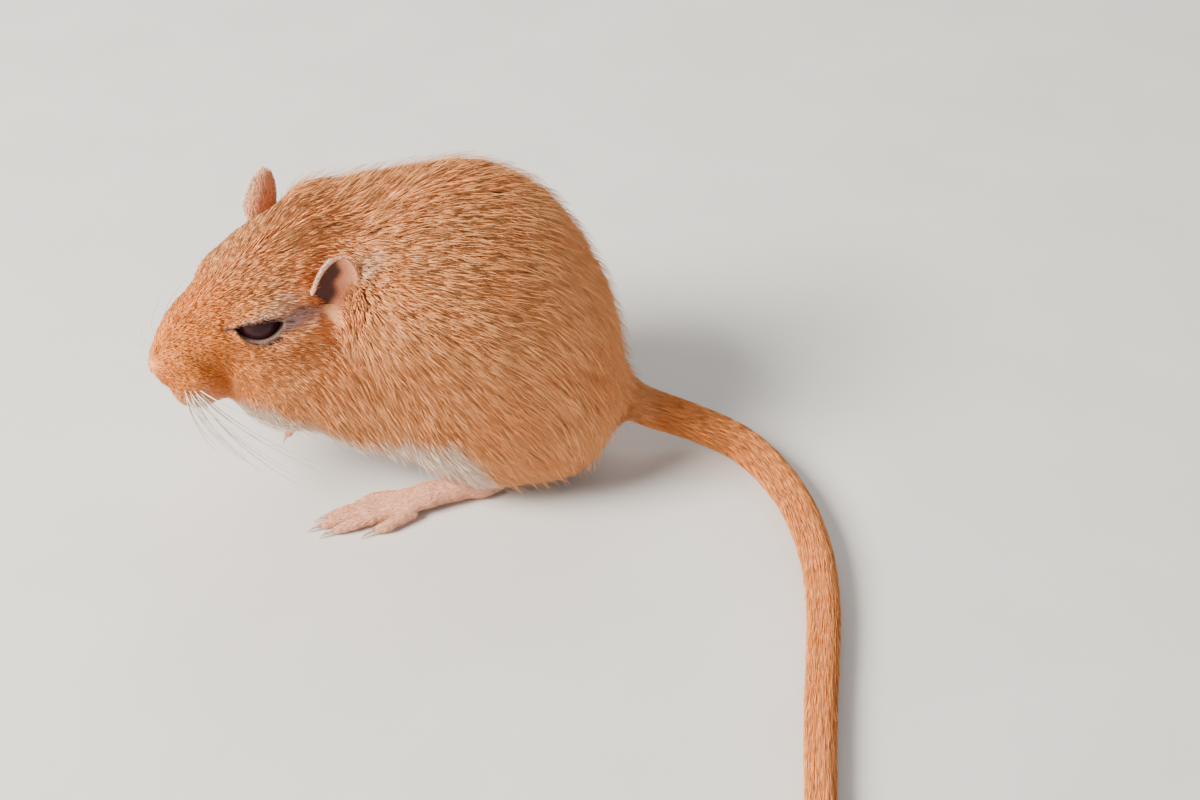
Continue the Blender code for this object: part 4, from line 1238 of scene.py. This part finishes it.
class GERBIL_OT_claws(bpy.types.Operator):
    """Make the claws of the hind feet and hands"""

    bl_idname = "gerbil.claws"
    bl_label = "Claws"

    def execute(self, context):
        groups = {"claws": [], "nails": []}
        for _, side in SIDES:
            heel, forward, outside = foot_axes(side)
            for _, end, along, length in TOES:
                root = heel + forward * (along + length + 0.3) + outside * end + (0, 0, 0.9)
                groups["claws"].append(horn_tube(root, forward + outside * 0.04 * end, 2.6, 0.44))
            for _, middle, tip in finger_lines(side):
                ahead = unit(tip - middle)
                groups["nails"].append(horn_tube(tip + ahead * 0.2, ahead, 2.0, 0.34))
        finish = finish_named("claw_keratin", horn_material)
        for name, parts in groups.items():
            made = mesh_piece(name, *merged(parts), finish, slot="claw_horn")
            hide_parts(*[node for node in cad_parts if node.startswith(name[:-1])])
        return {"FINISHED"}


def skin_samples():
    """Corners, areas and centres of the skin's faces in drawn millimetres, without the ears."""
    mesh = bpy.data.objects["skin"].data
    co = np.empty(len(mesh.vertices) * 3, np.float32)
    mesh.vertices.foreach_get("co", co)
    co = co.reshape(-1, 3).astype(float) / MM + CENTRE
    index = np.empty(len(mesh.loops), np.int32)
    mesh.loops.foreach_get("vertex_index", index)
    quads = index.reshape(-1, 4)
    ear_points = 2 * len(ear_shell("l")[0])
    quads = quads[(quads < len(co) - ear_points).all(axis=1)]
    corners = co[quads]
    area = np.linalg.norm(np.cross(corners[:, 2] - corners[:, 0], corners[:, 3] - corners[:, 1]), axis=1) / 2
    return corners, area, corners.mean(axis=1)


def scattered(corners, area, weight, count, rng):
    """count points spread over the faces in proportion to area times weight."""
    share = area * weight
    edges = np.cumsum(share)
    spots = (np.arange(count) + rng.random(count)) / count * edges[-1]
    picked = np.minimum(np.searchsorted(edges, spots), len(area) - 1)
    a, b = rng.random((2, count, 1))
    quad = corners[picked]
    return (quad[:, 0] * (1 - a) + quad[:, 1] * a) * (1 - b) + (quad[:, 3] * (1 - a) + quad[:, 2] * a) * b


def bent_hair(root, way, long, bend, end=0.0):
    """Middle lines of hairs from root along way, with their middles moved by bend and their tips by end."""
    return np.stack((root, root + way * long * 0.5 + bend, root + way * long + end), axis=1)


def ear_hair(label, rng, fringe=900, down=1300):
    """Middle lines, normals and markings of the hair of one ear: its fringe and its down."""
    rows, columns = 60, 72
    sheet, inward, thick, _ = ear_sheet(label, rows, columns)
    side = HEAD_SIDES[label]
    _, rise, mouth, across = ear_axes(label)
    ahead = -across * side
    edge = columns - 1 if side < 0 else 0
    row = rng.integers(24, 56, fringe)
    column = np.abs(edge - np.minimum(rng.integers(0, 20, fringe), rng.integers(0, 20, fringe)))
    root = sheet[row, column] + inward[row, column] * 0.4
    way = unit(rise * 0.9 + mouth * 0.25 + ahead * 0.1 + rng.normal(0, 0.13, (fringe, 3)))
    long = rng.uniform(0.8, 1.8, fringe)[:, None]
    fringe_lines = bent_hair(root, way, long, ahead * 0.1)
    row, column = rng.integers(12, rows, down), rng.integers(0, columns, down)
    out = -inward[row, column]
    root = sheet[row, column] + inward[row, column] * EAR_SHIFT + out * thick[row, column][:, None] * 0.45
    way = rise + rng.normal(0, 0.12, (down, 3))
    way = unit(way - out * (way * out).sum(axis=1, keepdims=True))
    long = rng.uniform(0.7, 1.2, down)[:, None]
    down_lines = bent_hair(root, way, long, out * 0.14, out * 0.2)
    lines = from_head(np.concatenate((fringe_lines, down_lines)))
    normals = np.concatenate((np.tile(ahead, (fringe, 1)), out)) @ HEAD.T
    marks = np.zeros((fringe + down, 4))
    marks[:fringe, 0] = 0.85
    marks[fringe:] = (0.35, 0, 0.25, 0)
    return lines, normals, marks


class Ground:
    """The skin's faces, the part of the body that each is in, and the coat's random draws."""

    def __init__(self, rng):
        self.rng = rng
        self.corners, self.area, self.middle = skin_samples()
        trunk, head, self.local = body_fields(self.middle)
        x, y, z = self.middle.T
        self.tail = (x > TAIL_BEHIND) | (y < TAIL_LEFT)
        self.feet = ~self.tail & (z < FEET_BELOW) & (body_skin(self.middle) > 0.25)
        ragged = rng.normal(0, 1.4, len(self.middle))
        step = head + head_depth(self.local) - trunk - trunk_depth(self.middle) + ragged
        self.head = ~self.tail & ~self.feet & (step < 0.5)
        self.trunk = ~self.tail & ~self.feet & ~self.head
        self.hollow = nearer_hollow(self.local)

    def roots(self, weight, count):
        return scattered(self.corners, self.area, weight, count, self.rng)


def tones(leader, spread, level, rng):
    """A tone for each tuft, half its own and half its clump's."""
    own, shared = rng.normal(0, 1, (2, len(leader))) * spread
    return np.clip(level + own * 0.7 + shared[leader] * 0.6, 0, 1)


def coat_depth(points, share):
    """The coat's depth from the trunk's, where share is 0, to the head's, where it is 1."""
    return trunk_depth(points) * (1 - share) + head_depth(in_head(points)) * share


def trunk_coat(ground, count, hair, layer):
    """Tufts of one layer of the trunk's coat, and their roots."""
    rng = ground.rng
    weight = ground.trunk * (0.5 + 0.5 * ramp(3, 9, ground.middle[:, 2])) * (ground.hollow > 0.5)
    if layer.back_only:
        weight = weight * (0.3 + 0.7 * ramp(12, 26, ground.middle[:, 2]))
    roots = ground.roots(weight, count)
    x, _, z = roots.T
    # Shorter at the chest, low on the flanks and beside the hollows of the ears.
    lengths = hair * rng.uniform(0.72, 1.15, len(roots)) * layer.long
    lengths *= 0.80 + 0.2 * ramp(-36, -20, x) - 0.12 * ramp(14, 5, z)
    lengths *= 0.4 + 0.6 * ramp(0.8, 4.0, nearer_hollow(in_head(roots)))
    share = head_share(roots)
    depth = coat_depth(roots, share) * rng.uniform(*layer.rise, len(roots)) * (1 - 0.75 * near_tail(roots))
    widths = rng.uniform(*layer.wide, len(roots))
    ticks = (rng.random(len(roots)) < layer.ticked) * rng.uniform(0.3, 0.85, len(roots)) * ramp(11, 20, z)
    sway, pull = 0.14 - 0.07 * share, layer.pull[0] - layer.pull[1] * share
    lines, normals, leader = grown(roots, coat_base, lengths, depth, "body", rng, layer.steps, sway, pull)
    lines[..., 2] = np.maximum(lines[..., 2], TRUNK_COAT_LOW)
    tone = tones(leader, 0.14 - 0.04 * share, 0.56 + 0.08 * share, rng)
    marks = markings(roots) * (1, 0, 1, 0)
    shadow = (0.76 - 0.26 * share) * (1 - 0.4 * marks[:, 0])
    return tufts_of(lines, normals, widths, tone, marks, shadow, ticks), roots


def head_coat(ground, count, hair):
    """Tufts of the head, long at the nape and finest on the muzzle and round the eyes, and their roots."""
    # None grow on the lids' rims, the nose and the ears' hollows, and few on the thin band.
    rng, local = ground.rng, ground.local
    thin, lids = np.full(len(local), FAR), np.zeros(len(local), bool)
    for side in (-1, 1):
        thin = np.minimum(thin, bald_distance(local, side))
        away, along, across, out = eye_place(local, side)
        lids |= (out > 0) & (away < EYE_RADIUS + 1.2) & (eye_opening(along, across) < 0.18)
    nose = np.linalg.norm(local - NOSE_TIP, axis=1) < 1.5
    weight = ground.head * ~lids * ~nose * (ground.hollow > 1.0) * (1 + 0.9 * ramp(-4, 10, local[:, 0]))
    roots = ground.roots(weight * (0.2 + 0.8 * ramp(1.2, 2.6, thin)), count)
    near = in_head(roots)
    front = ramp(-12, 13, near[:, 0])
    lengths = hair * (2.4 - 1.6 * front) * rng.uniform(0.75, 1.2, len(roots))
    # How near each root is to the lids, the thin band or an ear's hollow, where the coat is short and flat.
    close = np.maximum(nearer_hollow(near) - 0.8, 0.2)
    for side in (-1, 1):
        away, along, across, out = eye_place(near, side)
        gap = np.where((out > 0) & (away < 7), np.abs(eye_opening(along, across)), FAR)
        close = np.minimum(close, np.minimum(gap, np.maximum(bald_distance(near, side) - 0.6, 0.3)))
    lengths *= 0.42 + 0.58 * ramp(0.2, 2.6, close)
    share = head_share(roots)
    depth = coat_depth(roots, share) * rng.uniform(0.6, 1.05, len(roots))
    depth *= 0.4 + 0.6 * ramp(0.2, 2.4, close)
    guard = rng.random(len(roots)) < 0.06
    depth[guard] += 0.22
    widths = (0.20 - 0.10 * front) * rng.uniform(0.8, 1.25, len(roots))
    ticks = np.where(guard, rng.uniform(0.3, 0.85, len(roots)), 0) * ramp(-9, -3, near[:, 2])
    sway, pull = 0.14 - 0.07 * share, 0.42 - 0.2 * share
    lines, normals, leader = grown(roots, coat_base, lengths, depth, "body", rng, 2, sway, pull)
    tone = tones(leader, 0.14 - 0.06 * share, 0.56 + 0.1 * share, rng)
    marks = markings(roots)
    shadow = (0.76 - 0.42 * share) * (1 - 0.4 * marks[:, 0])
    warm = 0.1 + 0.65 * ramp(3, 12, near[:, 0])
    warm = warm * (1 - marks[:, :2].max(axis=1)) * (1 - 0.5 * marks[:, 2])
    return tufts_of(lines, normals, widths, tone, marks, shadow, ticks, warm), roots


def tail_coat(ground, count, hair):
    """Tufts of the tail, longer towards its tufted end, and their roots."""
    rng = ground.rng
    roots = ground.roots(ground.tail * (0.5 + 0.5 * ramp(0.3, 1.5, ground.middle[:, 2])), count)
    late = ramp(0.72, 0.98, nearest(roots, TAIL_PATH) / (len(TAIL_PATH) - 1))
    lengths = hair * rng.uniform(0.75, 1.2, len(roots)) * (1 + 0.6 * late)
    depth = (0.5 + 0.95 * late) * rng.uniform(0.35, 1.0, len(roots))
    widths = rng.uniform(0.10, 0.16, len(roots)) * (1 + 0.5 * late)
    ticks = np.where(rng.random(len(roots)) < 0.05 + 0.4 * late, rng.uniform(0.2, 0.6, len(roots)), 0)
    lines, normals, leader = grown(roots, coat_base, lengths, depth, "tail", rng, 2, 0.03, 0)
    lines[..., 2] = np.maximum(lines[..., 2], SHORT_COAT_LOW)
    tone = tones(leader, 0.07, 0.54, rng)
    return tufts_of(lines, normals, widths, tone, markings(lines[:, 0]), 0.32, ticks, 0.42), roots


def foot_coat(ground, count):
    """Tufts of the feet, very short and flat on top with none on the soles, and their roots."""
    rng = ground.rng
    x, _, z = ground.middle.T
    roots = ground.roots(ground.feet * (z > 0.7) * (x < 24) * (x > -34), count)
    lengths = rng.uniform(0.8, 1.5, len(roots))
    depth = rng.uniform(0.04, 0.12, len(roots))
    widths = rng.uniform(0.05, 0.08, len(roots))

    def feet_alone(points):
        return join_feet(np.full(len(points), FAR), points)

    lines, normals, leader = grown(roots, feet_alone, lengths, depth, "paw", rng, 2, 0.07, 0)
    lines[..., 2] = np.maximum(lines[..., 2], SHORT_COAT_LOW)
    tone = tones(leader, 0.06, 0.55, rng)
    return tufts_of(lines, normals, widths, tone, markings(lines[:, 0]), 0.4), roots


def ear_coat(rng):
    """Tufts of both ears, a pale fringe up the front edge and a fine down over the back, and their roots."""
    parts = zip(*(ear_hair(label, rng) for label in HEAD_SIDES))
    lines, normals, marks = (np.concatenate(part) for part in parts)
    widths = rng.uniform(0.06, 0.11, len(lines))
    tone = tones(np.arange(len(lines)), 0.12, 0.75, rng)
    return tufts_of(lines, normals, widths, tone, marks, 0.3), lines[:, 0]


class GERBIL_OT_coat(bpy.types.Operator):
    """Grow the coat over trunk, head, tail, feet and ears"""

    bl_idname = "gerbil.coat"
    bl_label = "Coat"

    def execute(self, context):
        settings = context.scene.gerbil
        finish = finish_named("gerbil_coat", coat_material, settings)
        ground = Ground(np.random.default_rng(COAT_SEED))

        def seen_from(centre, axis):
            return lambda roots: round_unwrap(roots, centre, axis)

        tufts, roots = trunk_coat(ground, settings.trunk_tufts, settings.back_hair / MM, UNDERCOAT)
        for part, low, high in zip(("fore", "middle", "rear"), TRUNK_CUTS, TRUNK_CUTS[1:]):
            within = (roots[:, 0] >= low) & (roots[:, 0] < high)
            for label, side in (("left", -1), ("right", 1)):
                chosen = within & ((roots[:, 1] < 2) == (side < 0))
                unwrap = seen_from(TRUNK_MIDDLE, (0, side, 0.3))
                coat_piece(f"coat_{part}_{label}", tufts, roots, unwrap, finish, chosen)
        tufts, roots = trunk_coat(ground, settings.guard_hairs, settings.back_hair / MM, GUARD_HAIR)
        coat_piece("guard_back", tufts, roots, seen_from(TRUNK_MIDDLE, (0, 0, 1)), finish)
        tufts, roots = head_coat(ground, settings.head_tufts, settings.face_hair / MM)
        left = in_head(roots)[:, 1] >= 0
        for label, side, chosen in (("left", 1, left), ("right", -1, ~left)):
            unwrap = seen_from(HEAD_CENTRE, HEAD @ (0.3, side, 0.2))
            coat_piece(f"coat_face_{label}", tufts, roots, unwrap, finish, chosen)
        tufts, roots = tail_coat(ground, settings.tail_tufts, settings.tail_hair / MM)
        coat_piece("coat_tail", tufts, roots, tail_unwrap, finish)
        tufts, roots = foot_coat(ground, settings.paw_tufts)
        coat_piece("coat_feet", tufts, roots, seen_from((-10, 2, 0), (0, 0, 1)), finish)
        tufts, roots = ear_coat(ground.rng)
        coat_piece("coat_ears", tufts, roots, seen_from(HEAD_CENTRE, HEAD[:, 2]), finish)
        return {"FINISHED"}


def whisker_line(side, row, place, longest, rng):
    """Middle line of one whisker in a pad's rows, and the direction across its curve."""
    start = snout_spot((0.25 - 0.35 * place / 3, side, -0.55 + 0.3 * row / 3), -0.2)
    out = np.array((0.25 - 0.5 * place / 3, side * (0.42 + 0.16 * row), -1.25 + 0.4 * row))
    out = unit(HEAD @ unit(out + rng.normal(0, 0.06, 3)))
    length = longest * (0.5 + 0.5 * place / 3) * rng.uniform(0.8, 1.0)
    sweep = unit(-HEAD[:, 0] * 0.8 + np.array((0, 0, -0.35)))
    shares = np.linspace(0, 1, 12)
    line = [start + out * length * t + sweep * length * 0.42 * t * t for t in shares]
    return [np.array((x, y, max(z, WHISKER_LOW))) for x, y, z in line], unit(np.cross(out, sweep))


def whisker_tube(line, across):
    """Points and triangles of a whisker that thins towards its tip."""
    sides, last, thickest = 5, len(line) - 1, 0.12
    points = []
    for k, centre in enumerate(line):
        over = np.cross(unit(line[min(k + 1, last)] - line[max(k - 1, 0)]), across)
        girth = thickest * (1 - 0.85 * k / last)
        points += ring(centre, across, over, girth, girth, sides)
    faces = between_rings(len(line), sides, reverse=True)
    tip = last * sides
    for j in range(1, sides - 1):
        faces += [(0, j + 1, j), (tip, tip + j, tip + j + 1)]
    return np.array(points), np.array(faces)


class GERBIL_OT_whiskers(bpy.types.Operator):
    """Set the whiskers in the pads of the muzzle"""

    bl_idname = "gerbil.whiskers"
    bl_label = "Whiskers"

    def execute(self, context):
        rng = np.random.default_rng(WHISKER_SEED)
        longest = context.scene.gerbil.whisker / MM
        places = [(side, row, place) for side in (1, -1) for row in range(4) for place in range(4)]
        parts = [whisker_tube(*whisker_line(*place, longest, rng)) for place in places]
        mesh_piece("whiskers", *merged(parts), finish_named("whisker_hair", whisker_material))
        return {"FINISHED"}


class GERBIL_PT_panel(bpy.types.Panel):
    """Lists the pieces and their sizes"""

    bl_idname = "GERBIL_PT_panel"
    bl_label = "Gerbil"
    bl_space_type = "VIEW_3D"
    bl_region_type = "UI"
    bl_category = "Gerbil"

    def draw(self, context):
        for name in GerbilSizes.__annotations__:
            self.layout.prop(context.scene.gerbil, name)
        for operator in OPERATORS:
            self.layout.operator(operator.bl_idname)


OPERATORS = (
    GERBIL_OT_stage,
    GERBIL_OT_skin,
    GERBIL_OT_eyes,
    GERBIL_OT_claws,
    GERBIL_OT_coat,
    GERBIL_OT_whiskers,
)
CLASSES = (GerbilSizes, *OPERATORS, GERBIL_PT_panel)


def register():
    for made in CLASSES:
        bpy.utils.register_class(made)
    bpy.types.Scene.gerbil = PointerProperty(type=GerbilSizes)


def unregister():
    del bpy.types.Scene.gerbil
    for made in reversed(CLASSES):
        bpy.utils.unregister_class(made)


def main():
    register()
    bpy.ops.gerbil.stage()
    bpy.ops.gerbil.skin()
    bpy.ops.gerbil.eyes()
    bpy.ops.gerbil.claws()
    bpy.ops.gerbil.coat()
    bpy.ops.gerbil.whiskers()


if __name__ == "__main__":
    main()
